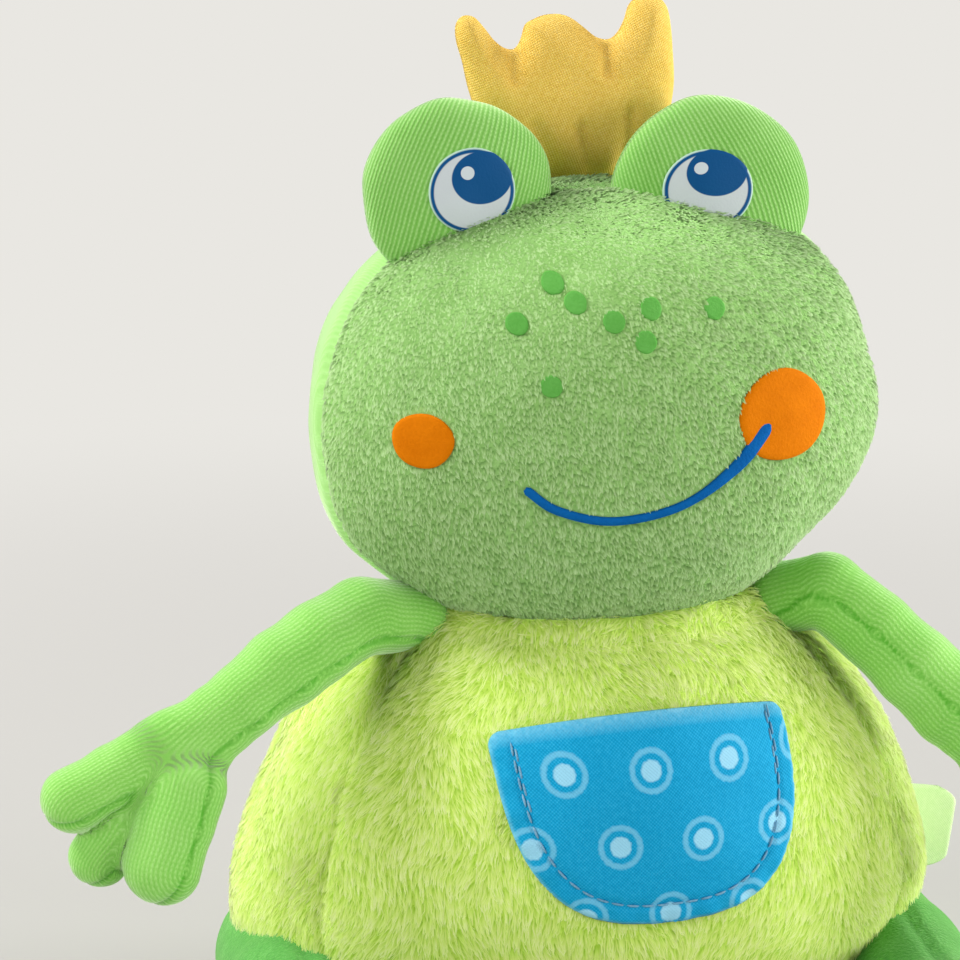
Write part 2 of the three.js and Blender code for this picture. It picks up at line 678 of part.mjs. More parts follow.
// The seam of an arm lies along this bearing, and the arm is raised about a line across it
const armBearing = 69;
const raiseAxis = new THREE.Vector3(Math.cos(radians(armBearing)), -Math.sin(radians(armBearing)), 0);
for (const side of ['left', 'right']) {
  const droop = side === 'left' ? 0 : rightArmDroop;
  const pivot = shoulder[side];
  const hinge = side === 'left' ? raiseAxis : raiseAxis.clone().multiply(new THREE.Vector3(1, -1, 1));
  const settle = (geometry) => {
    const own = side === 'left' ? geometry : mirrored(geometry);
    return turned(own, pivot, hinge, droop);
  };
  const outer = joined(armForms(0, true).map((form) => solid(settle(form))));
  const inner = joined(armForms(-clothThickness, false).map((form) => solid(settle(form))));
  const core = joined(armForms(-clothThickness - touchGap, false).map((form) => solid(settle(form))));
  const raise = (geometry, degrees) => turned(geometry, pivot, hinge, degrees);
  const bodySweep = [raise(bodyClear, armRaiseLimit)];
  const headSweep = [];
  for (const swing of [-armSwingLimit, 0, armSwingLimit]) {
    bodySweep.push(raise(turned(bodyClear, pivot, upward, swing), -armLowerLimit));
    for (const lift of [-armLowerLimit, armRaiseLimit]) {
      headSweep.push(raise(turned(neckDish, pivot, upward, swing), lift));
    }
  }
  const bodyRoom = joined(bodySweep.map(solid));
  const headRoom = joined(headSweep.map(solid));
  const wadHole = solid(ball(pivot, shoulderWadRadius + touchGap, wadSides));
  const root = solid(ball(pivot, shoulderRadius, ballSides));
  const inward = new THREE.Vector3(side === 'left' ? 1 : -1, 0, 0);
  const open = solid(halfSpace(pivot, inward));
  const skin = outer.subtract(bodyRoom).add(root).subtract(headRoom);
  const whole = skin.subtract(inner).subtract(wadHole).subtract(open);
  const filling = core.subtract(bodyRoom).subtract(headRoom).subtract(wadHole).subtract(open);
  const seamNormal = side === 'left' ? hinge.clone() : hinge.clone().negate();
  const frontSide = solid(halfSpace(pivot.clone().addScaledVector(seamNormal, touchGap / 2), seamNormal));
  const backNormal = seamNormal.clone().negate();
  const backSide = solid(halfSpace(pivot.clone().addScaledVector(backNormal, touchGap / 2), backNormal));
  body.add(piece(`arm_front_panel_${side}`, whole.intersect(frontSide), materials.armJersey));
  body.add(piece(`arm_back_panel_${side}`, whole.intersect(backSide), materials.armJersey));
  body.add(piece(`arm_stuffing_${side}`, filling, materials.stuffing));
  const wad = solid(ball(pivot, shoulderWadRadius, wadSides));
  body.add(piece(`shoulder_wad_${side}`, wad, materials.stuffing));
}

// Leg, drawn for the right side. Rows: share of the leg's length, share of the thigh radius outwards,
// width share of the thigh radius or the foot's half-width, and thickness share of the thigh radius.
const thighShares = [
  [0, 0, 0.94, 0.94],
  [0.29, 0.12, 0.93, 0.92],
  [0.6, 0.2, 0.82, 0.76],
];
const footShares = [
  [0.85, 0.25, 1, 0.62],
  [1, 0.27, 0.8, 0.55],
];
const toeBearings = [-32, 0, 32];

function legForms(growth, withToes) {
  const station = (fullWidth) => ([lengthShare, outShare, widthShare, thicknessShare]) => {
    const thickness = thicknessShare * thighRadius;
    const point = new THREE.Vector3(
      hip.right.x + outShare * thighRadius,
      hip.right.y - lengthShare * legLength,
      thickness - restFlat,
    );
    return { point, width: widthShare * fullWidth, thickness };
  };
  const foot = footShares.map(station(footHalfWidth));
  const stations = [...thighShares.map(station(thighRadius)), ...foot];
  if (!withToes) return [limbForm(stations, upward, growth, digitSides, stations.length)];
  const forms = [limbForm(stations, upward, growth, limbSides, stations.length + 1)];
  const instep = foot[0].point.clone().setZ(toeRadius - restFlat);
  for (const bearing of toeBearings) {
    const tip = stepFrom(instep, footHalfWidth / 2 + toeLength, -bearing, 0);
    const toe = [instep, instep.clone().lerp(tip, 1 / 2), tip];
    const toeStations = toe.map((point) => ({ point, width: toeRadius, thickness: toeRadius }));
    forms.push(limbForm(toeStations, upward, growth, digitSides, 1));
  }
  return forms;
}

const aboveFloor = solid(halfSpace(new THREE.Vector3(), upward));
for (const side of ['left', 'right']) {
  const pivot = hip[side];
  const settle = (geometry) => (side === 'right' ? geometry : mirrored(geometry));
  const outer = joined(legForms(0, true).map((form) => solid(settle(form))));
  const inner = joined(legForms(-clothThickness, false).map((form) => solid(settle(form))));
  const core = joined(legForms(-clothThickness - touchGap, false).map((form) => solid(settle(form))));
  const sweep = [];
  for (const splayShare of [0, 0.35, 0.7, 1]) {
    const splay = (side === 'right' ? -1 : 1) * splayShare * legSplayLimit;
    sweep.push(turned(bodyClear, pivot, upward, splay));
  }
  const cleared = joined(sweep.map(solid));
  const root = solid(ball(pivot, thighRadius, ballSides));
  const whole = outer.subtract(cleared).add(root).subtract(inner).intersect(aboveFloor);
  const filling = core.subtract(cleared);
  const outward = new THREE.Vector3(side === 'right' ? 1 : -1, 0, 0);
  const seam = pivot.clone();
  const outerSide = solid(halfSpace(seam.clone().addScaledVector(outward, touchGap / 2), outward));
  const inward = outward.clone().negate();
  const innerSide = solid(halfSpace(seam.clone().addScaledVector(inward, touchGap / 2), inward));
  body.add(piece(`leg_outer_panel_${side}`, whole.intersect(outerSide), materials.legVelour));
  body.add(piece(`leg_inner_panel_${side}`, whole.intersect(innerSide), materials.legVelour));
  body.add(piece(`leg_stuffing_${side}`, filling, materials.stuffing));
}

const frog = new THREE.Group();
frog.add(body, head);

export default frog;
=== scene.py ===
"""A sitting plush frog: its cloth covers, pile, prints, seams and stitches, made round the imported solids.

Lengths are millimetres and turn to metres when a mesh is made. +Z is up and the frog faces -Y.
"""
import math

import bmesh
import bpy
import numpy as np
from mathutils import Matrix, Vector
from mathutils.geometry import delaunay_2d_cdt


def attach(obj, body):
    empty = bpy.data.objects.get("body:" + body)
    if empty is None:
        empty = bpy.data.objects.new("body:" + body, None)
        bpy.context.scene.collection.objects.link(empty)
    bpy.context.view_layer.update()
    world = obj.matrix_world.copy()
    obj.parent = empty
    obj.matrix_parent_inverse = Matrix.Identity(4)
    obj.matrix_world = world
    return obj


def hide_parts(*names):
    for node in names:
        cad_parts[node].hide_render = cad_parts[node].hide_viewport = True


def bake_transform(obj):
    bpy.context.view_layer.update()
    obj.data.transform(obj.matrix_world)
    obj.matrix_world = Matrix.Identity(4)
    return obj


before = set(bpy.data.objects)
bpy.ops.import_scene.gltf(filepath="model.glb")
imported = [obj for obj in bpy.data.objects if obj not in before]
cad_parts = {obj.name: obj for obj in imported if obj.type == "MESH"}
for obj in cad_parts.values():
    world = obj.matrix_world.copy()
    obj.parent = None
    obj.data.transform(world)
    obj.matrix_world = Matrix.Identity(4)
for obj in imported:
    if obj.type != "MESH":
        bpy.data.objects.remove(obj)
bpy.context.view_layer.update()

METRE = 0.001
TAU = 2 * math.pi

# Camera, read from the photograph: 4 pixels to a millimetre at the frog's middle
VIEW_BEARING, VIEW_RISE, VIEW_DISTANCE = math.radians(11), math.radians(10), 900
VIEW_LENS, SENSOR_WIDTH = 135, 36
PICTURE_ASIDE, PICTURE_HEIGHT = -25.5, 138.75

# Body
HALF_WIDTH, HALF_DEPTH, GIRTH, SEAT_SINK, DOME = 83.5, 71.5, 52, 4, 79
DOME_FULLNESS = 1.8
# Bearings of the seams beside the front panel and beside the back panel, in degrees, and the rise of the base's seam
BODY_SEAMS = FRONT_SEAM, BACK_SEAM = 58, 96
BASE_SEAM = -0.72
SEAM_DEPTH, SEAM_SPREAD = 0.9, 1.9
PILE_LENGTH = 4.2
# Tilts of the long pile and how near to each other the strands of one lock stand
PILE_RISE, PILE_DROOP, LOCK_SIZE = math.radians(40), 0.3, 2.4
# How far the sides of the seat stand out beyond the plain form, at what height and over what height
SIDE_BULGES = {-1: (9.0, 32, 17), 1: (6.2, 34, 18)}
SIDE_SPREAD = 38
# How far the left side is drawn in higher up, in the same way
SIDE_WAIST = (2.6, 74, 15)

# Head
HEAD_CENTRE = np.array([1.0, -12.0, 162.4])
HEAD_HALF = np.array([69.5, 52.0, 56.0])
HEAD_ROLL = math.radians(4)
# The head's side seam lies this far in front of its middle, drawn in so deep over so wide
HEAD_SEAM, HEAD_SEAM_DEPTH, HEAD_SEAM_SPREAD = 8.5, 1.6, 2.6
# How much fuller than an egg the head is, every 15 degrees round its outline from the viewer's right
HEAD_OUTLINE_SHARES = (0.995, 0.965, 1.008, 1.03, 0.99, 0.985, 0.985, 1.008, 1.032, 1.055, 1.05, 1.03,
                       1.03, 1.046, 1.062, 1.048, 1.02, 1.002, 1.008, 1.006, 0.985, 0.945, 0.982, 1.008)
NECK_DISH = np.array([71.1, 63.2, 61.4])
NECK_PIVOT = np.array([0.0, -10.0, 112.0])
# Takes the height out of a direction
LEVEL = np.array([1, 1, 0])

EYES = {
    "left": dict(radius=23.0, across=-0.47, rise=0.278, lean=-20),
    "right": dict(radius=24.3, across=0.42, rise=-0.033, lean=24),
}
EYE_THICKNESS = 9.0
# How full the bumps are: powers of the sine and the cosine in an ellipsoid, which has 1 for both
EYE_OUT_POWER, EYE_DEPTH_POWER = 0.9, 0.75
EYE_PRINTS = {
    "left": dict(radius=10.4, tall=0.97, aside=0.087, up=0.06,
                 iris=(0.239, 0.292, 0.702, 0.614), shine=(-0.091, 0.434)),
    "right": dict(radius=11.1, tall=0.87, aside=-0.107, up=0.11,
                  iris=(0.225, 0.41, 0.68, 0.6), shine=(-0.12, 0.53)),
}
EYE_PRINT_LIFT = 0.45
FRECKLE_RADIUS, FRECKLE_LIFT, CHEEK_LIFT = 2.5, 0.6, 0.9
FRECKLE_SHARES = ((-0.246, 0.636), (-0.186, 0.555), (-0.386, 0.488), (-0.071, 0.47),
                  (0.062, 0.507), (0.289, 0.477), (0.026, 0.38), (-0.302, 0.232))
CHEEKS = {"small": (-49.8, 1.3, 6.3, 6.3), "large": (34.6, 0.3, 11.5, 10.5)}
MOUTH_LINE = ((-28.4, -10.6), (-21.1, -16.4), (-8.4, -20.0), (7.1, -18.1), (20.9, -10.5), (30.4, -1.1))


# ---- Small tools ----

def hex_colour(text):
    """The linear colour of an sRGB hex value."""
    parts = [int(text[i:i + 2], 16) / 255 for i in (1, 3, 5)]
    return tuple(c / 12.92 if c <= 0.04045 else ((c + 0.055) / 1.055) ** 2.4 for c in parts) + (1.0,)


def noise(points, cell, seed=0):
    """Smooth noise from -1 to 1: random numbers at the corners of cubes, eased from corner to corner."""
    q = np.asarray(points, float) / cell
    low = np.floor(q).astype(np.int64)
    f = q - low
    f = f * f * (3 - 2 * f)
    total = 0
    for dx in (0, 1):
        for dy in (0, 1):
            for dz in (0, 1):
                h = ((low[..., 0] + dx) * 73856093 ^ (low[..., 1] + dy) * 19349663
                     ^ (low[..., 2] + dz) * 83492791 ^ (seed + 1) * 40503) & 0x7FFFFFFF
                h = (h ^ (h >> 13)) * 1274126177 & 0x7FFFFFFF
                h = h ^ (h >> 16)
                value = (h & 0xFFFF) / 32767.5 - 1
                weight = (np.where(dx, f[..., 0], 1 - f[..., 0]) * np.where(dy, f[..., 1], 1 - f[..., 1])
                          * np.where(dz, f[..., 2], 1 - f[..., 2]))
                total = total + value * weight
    return total


def unit(vectors):
    """The same directions, one long."""
    return vectors / np.maximum(np.linalg.norm(vectors, axis=-1, keepdims=True), 1e-9)


def ease(low, high, value):
    """0 below low, 1 above high and a smooth step between."""
    t = np.clip((value - low) / (high - low), 0, 1)
    return t * t * (3 - 2 * t)


def make(name, points, faces, material, cloth=None, tone=None, smooth=True):
    """A mesh of points in millimetres. cloth holds flat cloth coordinates in mm, tone a number, for each point."""
    mesh = bpy.data.meshes.new(name)
    points = np.asarray(points, np.float32).reshape(-1, 3) * METRE
    faces = np.asarray(faces, np.int32)
    corners = faces.shape[1]
    mesh.vertices.add(len(points))
    mesh.vertices.foreach_set("co", points.ravel())
    mesh.loops.add(faces.size)
    mesh.loops.foreach_set("vertex_index", faces.ravel())
    mesh.polygons.add(len(faces))
    mesh.polygons.foreach_set("loop_start", np.arange(0, faces.size, corners, dtype=np.int32))
    mesh.polygons.foreach_set("loop_total", np.full(len(faces), corners, np.int32))
    mesh.update(calc_edges=True)
    mesh.validate()
    mesh.polygons.foreach_set("use_smooth", np.full(len(mesh.polygons), smooth))
    obj = bpy.data.objects.new(name, mesh)
    bpy.context.scene.collection.objects.link(obj)
    mesh.materials.append(material)
    dress(obj, cloth, tone)
    return obj


def dress(obj, cloth=None, tone=None):
    """Gives a mesh its flat cloth coordinates, as a UV map in mm, and its tone."""
    mesh = obj.data
    if cloth is not None:
        index = np.zeros(len(mesh.loops), np.int32)
        mesh.loops.foreach_get("vertex_index", index)
        layer = mesh.uv_layers.new(name="cloth")
        layer.data.foreach_set("uv", np.asarray(cloth, np.float32).reshape(-1, 2)[index].ravel())
    if tone is not None:
        attribute = mesh.attributes.new("tone", "FLOAT_VECTOR", "POINT")
        attribute.data.foreach_set("vector", np.asarray(tone, np.float32).ravel())


def grid_faces(rows, columns, around=False, offset=0):
    """Four-cornered faces of a grid of points, which may close on itself from the last column to the first."""
    r = np.arange(rows - 1)[:, None]
    c = np.arange(columns if around else columns - 1)[None, :]
    n = (c + 1) % columns
    quads = np.stack([r * columns + c, r * columns + n, (r + 1) * columns + n, (r + 1) * columns + c], -1)
    return quads.reshape(-1, 4) + offset


def surface_frame(surface, u, v):
    """Points, outward normals and the two slopes of a surface of two parameters."""
    step = 1e-3
    p = surface(u, v)
    du = (surface(u + step, v) - surface(u - step, v)) / (2 * step)
    dv = (surface(u, v + step) - surface(u, v - step)) / (2 * step)
    return p, unit(np.cross(du, dv)), du, dv


def scatter(surface, low, high, per_mm2, seed):
    """Random places on a surface, as many to each square millimetre everywhere."""
    rng = np.random.default_rng(seed)
    u = rng.uniform(low[0], high[0], 20000)
    v = rng.uniform(low[1], high[1], 20000)
    _, _, du, dv = surface_frame(surface, u, v)
    area = np.linalg.norm(np.cross(du, dv), axis=1)
    peak = np.percentile(area, 99.5)
    whole = area.mean() * (high[0] - low[0]) * (high[1] - low[1])
    tries = int(whole * per_mm2 * peak / area.mean())
    u = rng.uniform(low[0], high[0], tries)
    v = rng.uniform(low[1], high[1], tries)
    _, _, du, dv = surface_frame(surface, u, v)
    area = np.linalg.norm(np.cross(du, dv), axis=1)
    keep = rng.uniform(0, 1, tries) < area / peak
    return u[keep], v[keep]


def strands(name, roots, normals, lie, length, width, rise, droop, material, clump=0.0, clump_size=5.0,
            steps=3, seed=0):
    """Strands of pile, as narrow tapered ribbons. Each leaves its root at an angle to the cloth, bends over
    along its lie, and its tip is drawn towards the tips of its clump. Tone holds the place along the
    strand, a random number for the strand and one for its clump."""
    rng = np.random.default_rng(seed)
    n = len(roots)
    lie = unit(lie - normals * np.sum(lie * normals, 1, keepdims=True))
    length = np.broadcast_to(length, n) * rng.uniform(0.75, 1.2, n)
    s = np.linspace(0, 1, steps + 1)
    along = s * math.cos(rise) + 0.25 * s * s
    up = s * math.sin(rise) - droop * s * s
    centre = (roots[:, None] + lie[:, None] * (along * length[:, None])[..., None]
              + normals[:, None] * (up * length[:, None])[..., None])
    cell = np.floor((roots + 0.35 * clump_size * np.stack([noise(roots, clump_size, seed + k) for k in (1, 2, 3)], 1))
                    / clump_size).astype(np.int64)
    key = cell[:, 0] * 1000003 + cell[:, 1] * 10007 + cell[:, 2]
    _, group = np.unique(key, return_inverse=True)
    group = group.ravel()
    count = np.bincount(group)
    middle = np.stack([np.bincount(group, centre[:, -1, k]) / count for k in range(3)], 1)
    pull = (middle[group][:, None] - centre[:, -1:]) * (s * s)[None, :, None]
    centre = centre + clump * pull
    centre += (rng.normal(0, 0.06, (n, steps + 1, 3)) * (s * length.mean())[None, :, None])
    tangent = unit(np.gradient(centre, axis=1))
    roll = rng.uniform(-1, 1, n)[:, None, None]
    side = unit(np.cross(tangent, normals[:, None]) + 0.8 * roll * normals[:, None])
    half = 0.5 * np.broadcast_to(width, n)[:, None] * (1 - 0.55 * s[:-1] ** 1.5)
    left = centre[:, :-1] - side[:, :-1] * half[..., None]
    right = centre[:, :-1] + side[:, :-1] * half[..., None]
    points = np.concatenate([np.stack([left, right], 2).reshape(n, -1, 3), centre[:, -1:]], 1)
    per = 2 * steps + 1
    face = []
    for k in range(steps - 1):
        a = 2 * k
        face += [[a, a + 1, a + 3], [a, a + 3, a + 2]]
    face.append([2 * steps - 2, 2 * steps - 1, 2 * steps])
    faces = (np.array(face)[None] + (np.arange(n) * per)[:, None, None]).reshape(-1, 3)
    clump_tone = rng.uniform(0, 1, len(count))[group]
    place = np.concatenate([np.repeat(s[:-1], 2), [1.0]])
    tone = np.stack([np.broadcast_to(place, (n, per)), np.broadcast_to(rng.uniform(0, 1, n)[:, None], (n, per)),
                     np.broadcast_to(clump_tone[:, None], (n, per))], -1)
    pile = make(name, points.reshape(-1, 3), faces, material, tone=tone.reshape(-1, 3))
    ground = pile.data.attributes.new("ground", "FLOAT_VECTOR", "POINT")
    ground.data.foreach_set("vector", np.repeat(normals, per, axis=0).astype(np.float32).ravel())
    # The cloth below casts the shadow, because real fibres let too much light by to shade one another; the pile's
    # material paints shade down at the roots in its place
    pile.visible_shadow = False
    return pile


def disc_faces(rings, around):
    """Faces of a disc: a middle point, which comes first, then rings of points from it outwards."""
    ring = 1 + np.arange(around)
    near = np.stack([np.zeros(around, int), ring, np.roll(ring, -1)], -1)
    quads = grid_faces(rings, around, True, 1)
    return np.vstack([near, quads[:, [0, 2, 1]], quads[:, [0, 3, 2]]])


def line_run(line):
    """The way along a line from its start, at each of its places."""
    return np.concatenate([[0], np.cumsum(np.linalg.norm(np.diff(line, axis=0), axis=1))])


def spline(points, count):
    """A smooth path through points, as many places along it as count, evenly spaced by length."""
    p = np.asarray(points, float)
    ends = np.vstack([2 * p[0] - p[1], p, 2 * p[-1] - p[-2]])
    t = np.linspace(0, len(p) - 1 - 1e-9, 40 * len(p))
    i = np.floor(t).astype(int)
    f = (t - i)[:, None]
    a, b, c, d = ends[i], ends[i + 1], ends[i + 2], ends[i + 3]
    path = 0.5 * (2 * b + (c - a) * f + (2 * a - 5 * b + 4 * c - d) * f ** 2 + (3 * b - a - 3 * c + d) * f ** 3)
    run = line_run(path)
    at = np.linspace(0, run[-1], count)
    return np.stack([np.interp(at, run, path[:, k]) for k in range(path.shape[1])], 1)


# ---- Materials ----

def add(tree, kind, inputs=None, **settings):
    """Adds a node with its settings, and links or sets its inputs."""
    node = tree.nodes.new(kind)
    for key, value in settings.items():
        setattr(node, key, value)
    for key, value in (inputs or {}).items():
        if isinstance(value, bpy.types.NodeSocket):
            tree.links.new(value, node.inputs[key])
        else:
            node.inputs[key].default_value = value
    return node


def cloth_material(name, roughness, sheen=0.0, sheen_tint="#ffffff", specular=0.25):
    """A new material with its shader, and the tree that paints it."""
    material = bpy.data.materials.new(name)
    material.use_nodes = True
    tree = material.node_tree
    shader = tree.nodes["Principled BSDF"]
    shader.inputs["Roughness"].default_value = roughness
    shader.inputs["Specular IOR Level"].default_value = specular
    shader.inputs["Sheen Weight"].default_value = sheen
    shader.inputs["Sheen Roughness"].default_value = 0.4
    shader.inputs["Sheen Tint"].default_value = hex_colour(sheen_tint)
    return material, tree, shader


def ramp(tree, value, stops):
    """Colours spread along a value from 0 to 1."""
    node = add(tree, "ShaderNodeValToRGB", {"Fac": value})
    elements = node.color_ramp.elements
    while len(elements) < len(stops):
        elements.new(0.5)
    for element, (place, colour) in zip(elements, stops):
        element.position = place
        element.color = hex_colour(colour)
    return node.outputs["Color"]


def sums(tree, operation, a, b, third=None):
    """A sum of two or three values."""
    inputs = {0: a, 1: b}
    if third is not None:
        inputs[2] = third
    return add(tree, "ShaderNodeMath", inputs, operation=operation).outputs[0]


def mix(tree, share, a, b):
    """The colour a, with a share of the colour b laid over it."""
    return add(tree, "ShaderNodeMix", {0: share, 6: a, 7: b}, data_type="RGBA").outputs[2]


def bump(tree, shader, height, distance):
    """Raises the surface by a height from 0 to 1 times a distance in mm."""
    node = add(tree, "ShaderNodeBump", {"Height": height, "Strength": 1.0, "Distance": distance * METRE})
    tree.links.new(node.outputs["Normal"], shader.inputs["Normal"])


def blotches(tree, size, detail):
    """Noise over the piece, with blotches of a size in mm."""
    place = add(tree, "ShaderNodeTexCoord").outputs["Object"]
    inputs = {"Vector": place, "Scale": 1 / (size * METRE), "Detail": detail}
    return add(tree, "ShaderNodeTexNoise", inputs).outputs["Fac"]


def flat_noise(tree, place, scale, detail):
    """Noise over the flat cloth, with a scale in blotches to the mm."""
    return add(tree, "ShaderNodeTexNoise", {"Vector": place, "Scale": scale, "Detail": detail}).outputs["Fac"]


def tone_of(tree):
    """The three numbers of the mesh's own tone: see strands for pile, and limb_cover and the pocket for cloth."""
    tone = add(tree, "ShaderNodeAttribute", attribute_name="tone").outputs["Vector"]
    return add(tree, "ShaderNodeSeparateXYZ", {0: tone}).outputs


def flat_cloth(tree):
    """The flat cloth coordinates in mm, and each of the two by itself."""
    place = add(tree, "ShaderNodeUVMap", uv_map="cloth").outputs[0]
    split = add(tree, "ShaderNodeSeparateXYZ", {0: place})
    return place, split.outputs[0], split.outputs[1]


def pile_material(name, stops, sheen):
    """Pile: painted shade darkens it down at its roots and it is painted pale at its tips, in place of the shade the
    strands would cast on one another, and each clump is a little lighter or darker.
    """
    material, tree, shader = cloth_material(name, 0.8, sheen, "#f4ffe0")
    along, of_strand, of_clump, *_ = tone_of(tree)
    stray = sums(tree, "MULTIPLY_ADD", of_strand, 0.16, -0.08)
    clump = sums(tree, "MULTIPLY_ADD", of_clump, 0.24, -0.12)
    # The place along the strand paints shade at the roots and light at the tips: painted shade and painted light
    value = sums(tree, "ADD", sums(tree, "ADD", along, stray), clump)
    colour = ramp(tree, value, stops)
    tree.links.new(colour, shader.inputs["Base Color"])
    # A strand is so thin that light reaches it from all round, so it is lit much as its cloth is
    ground = add(tree, "ShaderNodeAttribute", attribute_name="ground").outputs["Vector"]
    ground = add(tree, "ShaderNodeVectorTransform", {0: ground},
                 vector_type="NORMAL", convert_from="OBJECT", convert_to="WORLD").outputs[0]
    own = add(tree, "ShaderNodeNewGeometry").outputs["Normal"]
    own = add(tree, "ShaderNodeVectorMath", {0: own, "Scale": 0.45}, operation="SCALE").outputs[0]
    blended = add(tree, "ShaderNodeVectorMath", {0: ground, 1: own}, operation="ADD").outputs[0]
    blended = add(tree, "ShaderNodeVectorMath", {0: blended}, operation="NORMALIZE").outputs[0]
    tree.links.new(blended, shader.inputs["Normal"])
    through = add(tree, "ShaderNodeBsdfTranslucent", {"Color": colour, "Normal": blended})
    both = add(tree, "ShaderNodeMixShader", {0: 0.3, 1: shader.outputs[0], 2: through.outputs[0]})
    tree.links.new(both.outputs[0], tree.nodes["Material Output"].inputs["Surface"])
    return material


def knit_material(name, dark, mid, pale, pitch, course, depth, contrast, loops, stray, sheen):
    """Rib-knitted jersey: ridges a pitch apart, each a chain of small loops, a course apart, with painted shade
    darkening the furrows between the ridges. depth is how high a ridge stands and stray how far it wanders, in mm.
    contrast is how much paler a ridge is painted than the shaded furrow, and loops how much of its height comes and
    goes from loop to loop."""
    material, tree, shader = cloth_material(name, 0.85, sheen, "#f0ffdc")
    place, across, along = flat_cloth(tree)
    across = sums(tree, "MULTIPLY_ADD", flat_noise(tree, place, 0.25, 2.0), stray, across)
    ridge = sums(tree, "COSINE", sums(tree, "MULTIPLY", across, TAU / pitch), 0.0)
    ridge = sums(tree, "MULTIPLY_ADD", ridge, 0.5, 0.5)
    in_ridge = sums(tree, "FRACT", sums(tree, "DIVIDE", across, pitch), 0.0)
    from_furrow = sums(tree, "ABSOLUTE", sums(tree, "SUBTRACT", in_ridge, 0.5), 0.0)
    run = sums(tree, "ADD", sums(tree, "DIVIDE", along, course), sums(tree, "MULTIPLY", from_furrow, 1.6))
    loop = sums(tree, "MULTIPLY_ADD", sums(tree, "COSINE", sums(tree, "MULTIPLY", run, TAU), 0.0), 0.5, 0.5)
    height = sums(tree, "MULTIPLY", ridge, sums(tree, "MULTIPLY_ADD", loop, loops, 1 - loops))
    fuzz = blotches(tree, 0.5, 3.0)
    # Ridges are painted paler and furrows darker: painted shade in the furrows
    tinge = sums(tree, "MULTIPLY_ADD", height, contrast, 0.3 - 0.4 * contrast)
    tinge = sums(tree, "MULTIPLY_ADD", fuzz, 0.35, tinge)
    broad = blotches(tree, 14, 1.0)
    tinge = sums(tree, "ADD", tinge, sums(tree, "MULTIPLY_ADD", broad, 0.3, -0.15))
    # Down in a seam the cloth is in its own shade
    tinge = sums(tree, "SUBTRACT", tinge, sums(tree, "MULTIPLY", tone_of(tree)[0], 0.28))
    tree.links.new(ramp(tree, tinge, ((0.1, dark), (0.45, mid), (0.95, pale))), shader.inputs["Base Color"])
    bump(tree, shader, sums(tree, "MULTIPLY_ADD", fuzz, 0.3, height), depth)
    return material


def woven_material(name, dark, mid, pale, thread, depth, roughness=0.75, paint=None):
    """Plain-woven cloth: threads a given number of mm apart, which pass over and under each other in both
    directions, with a print laid over it by paint."""
    material, tree, shader = cloth_material(name, roughness, 0.0, "#ffffff", 0.1)
    place, *ways = flat_cloth(tree)
    waves = [sums(tree, "SINE", sums(tree, "MULTIPLY", way, math.pi / thread), 0.0) for way in ways]
    weave = sums(tree, "MULTIPLY_ADD", sums(tree, "MULTIPLY", *waves), 0.5, 0.5)
    slub = flat_noise(tree, place, 0.9, 3.0)
    broad = blotches(tree, 11, 1.5)
    tinge = sums(tree, "ADD", sums(tree, "MULTIPLY", weave, 0.38), sums(tree, "MULTIPLY", slub, 0.42))
    tinge = sums(tree, "ADD", tinge, sums(tree, "MULTIPLY_ADD", broad, 0.16, 0.02))
    colour = ramp(tree, tinge, ((0.15, dark), (0.5, mid), (0.9, pale)))
    if paint:
        colour = paint(tree, colour)
    tree.links.new(colour, shader.inputs["Base Color"])
    bump(tree, shader, sums(tree, "MULTIPLY_ADD", slub, 0.4, weave), depth)
    return material


# The print's lattice: mm from ring to ring along a row, and the step to the next row across and down. Then where
# its first ring lies from the middle of the pocket's mouth, the dot's and the ring's radii and their blurred edge
RING_STEP, ROW_ACROSS, ROW_DOWN = 20.0, 11.3, -16.9
PRINT_OFFSET = (1.0, 8.0)
DOT_RADIUS, RING_INNER, RING_OUTER, PRINT_BLUR = 2.45, 3.95, 5.2, 0.25


def ring_print(tree, colour):
    """A print of dots with rings round them, on a slanting lattice. Flat cloth places turn to lattice steps,
    the nearest crossing's offset turns back to mm, and its length picks the dot and the ring."""
    place, x, y = flat_cloth(tree)
    x, y = sums(tree, "ADD", x, PRINT_OFFSET[0]), sums(tree, "ADD", y, PRINT_OFFSET[1])
    row = sums(tree, "DIVIDE", y, ROW_DOWN)
    column = sums(tree, "DIVIDE", sums(tree, "SUBTRACT", x, sums(tree, "MULTIPLY", row, ROW_ACROSS)), RING_STEP)
    off_row, off_column = [
        sums(tree, "SUBTRACT", sums(tree, "FRACT", sums(tree, "ADD", steps, 0.5), 0.0), 0.5) for steps in (row, column)]
    dx = sums(tree, "ADD", sums(tree, "MULTIPLY", off_column, RING_STEP), sums(tree, "MULTIPLY", off_row, ROW_ACROSS))
    dy = sums(tree, "MULTIPLY", off_row, ROW_DOWN)
    squares = sums(tree, "ADD", sums(tree, "MULTIPLY", dx, dx), sums(tree, "MULTIPLY", dy, dy))
    ragged = flat_noise(tree, place, 1.1, 2.0)
    reach = sums(tree, "ADD", sums(tree, "SQRT", squares, 0.0), sums(tree, "MULTIPLY_ADD", ragged, 0.7, -0.35))

    def within(radius):
        edge = {0: reach, 1: radius - PRINT_BLUR, 2: radius + PRINT_BLUR, 3: 1.0, 4: 0.0}
        return add(tree, "ShaderNodeMapRange", edge).outputs[0]
    ring = sums(tree, "SUBTRACT", within(RING_OUTER), within(RING_INNER))
    colour = mix(tree, sums(tree, "MULTIPLY", ring, 0.5), colour, hex_colour("#8ad0ea"))
    colour = mix(tree, sums(tree, "MULTIPLY", within(DOT_RADIUS), 0.82), colour, hex_colour("#a3d9ee"))
    rubbed = sums(tree, "MULTIPLY", tone_of(tree)[0], sums(tree, "MULTIPLY_ADD", ragged, 0.9, 0.1))
    return mix(tree, rubbed, colour, hex_colour("#86cce6"))


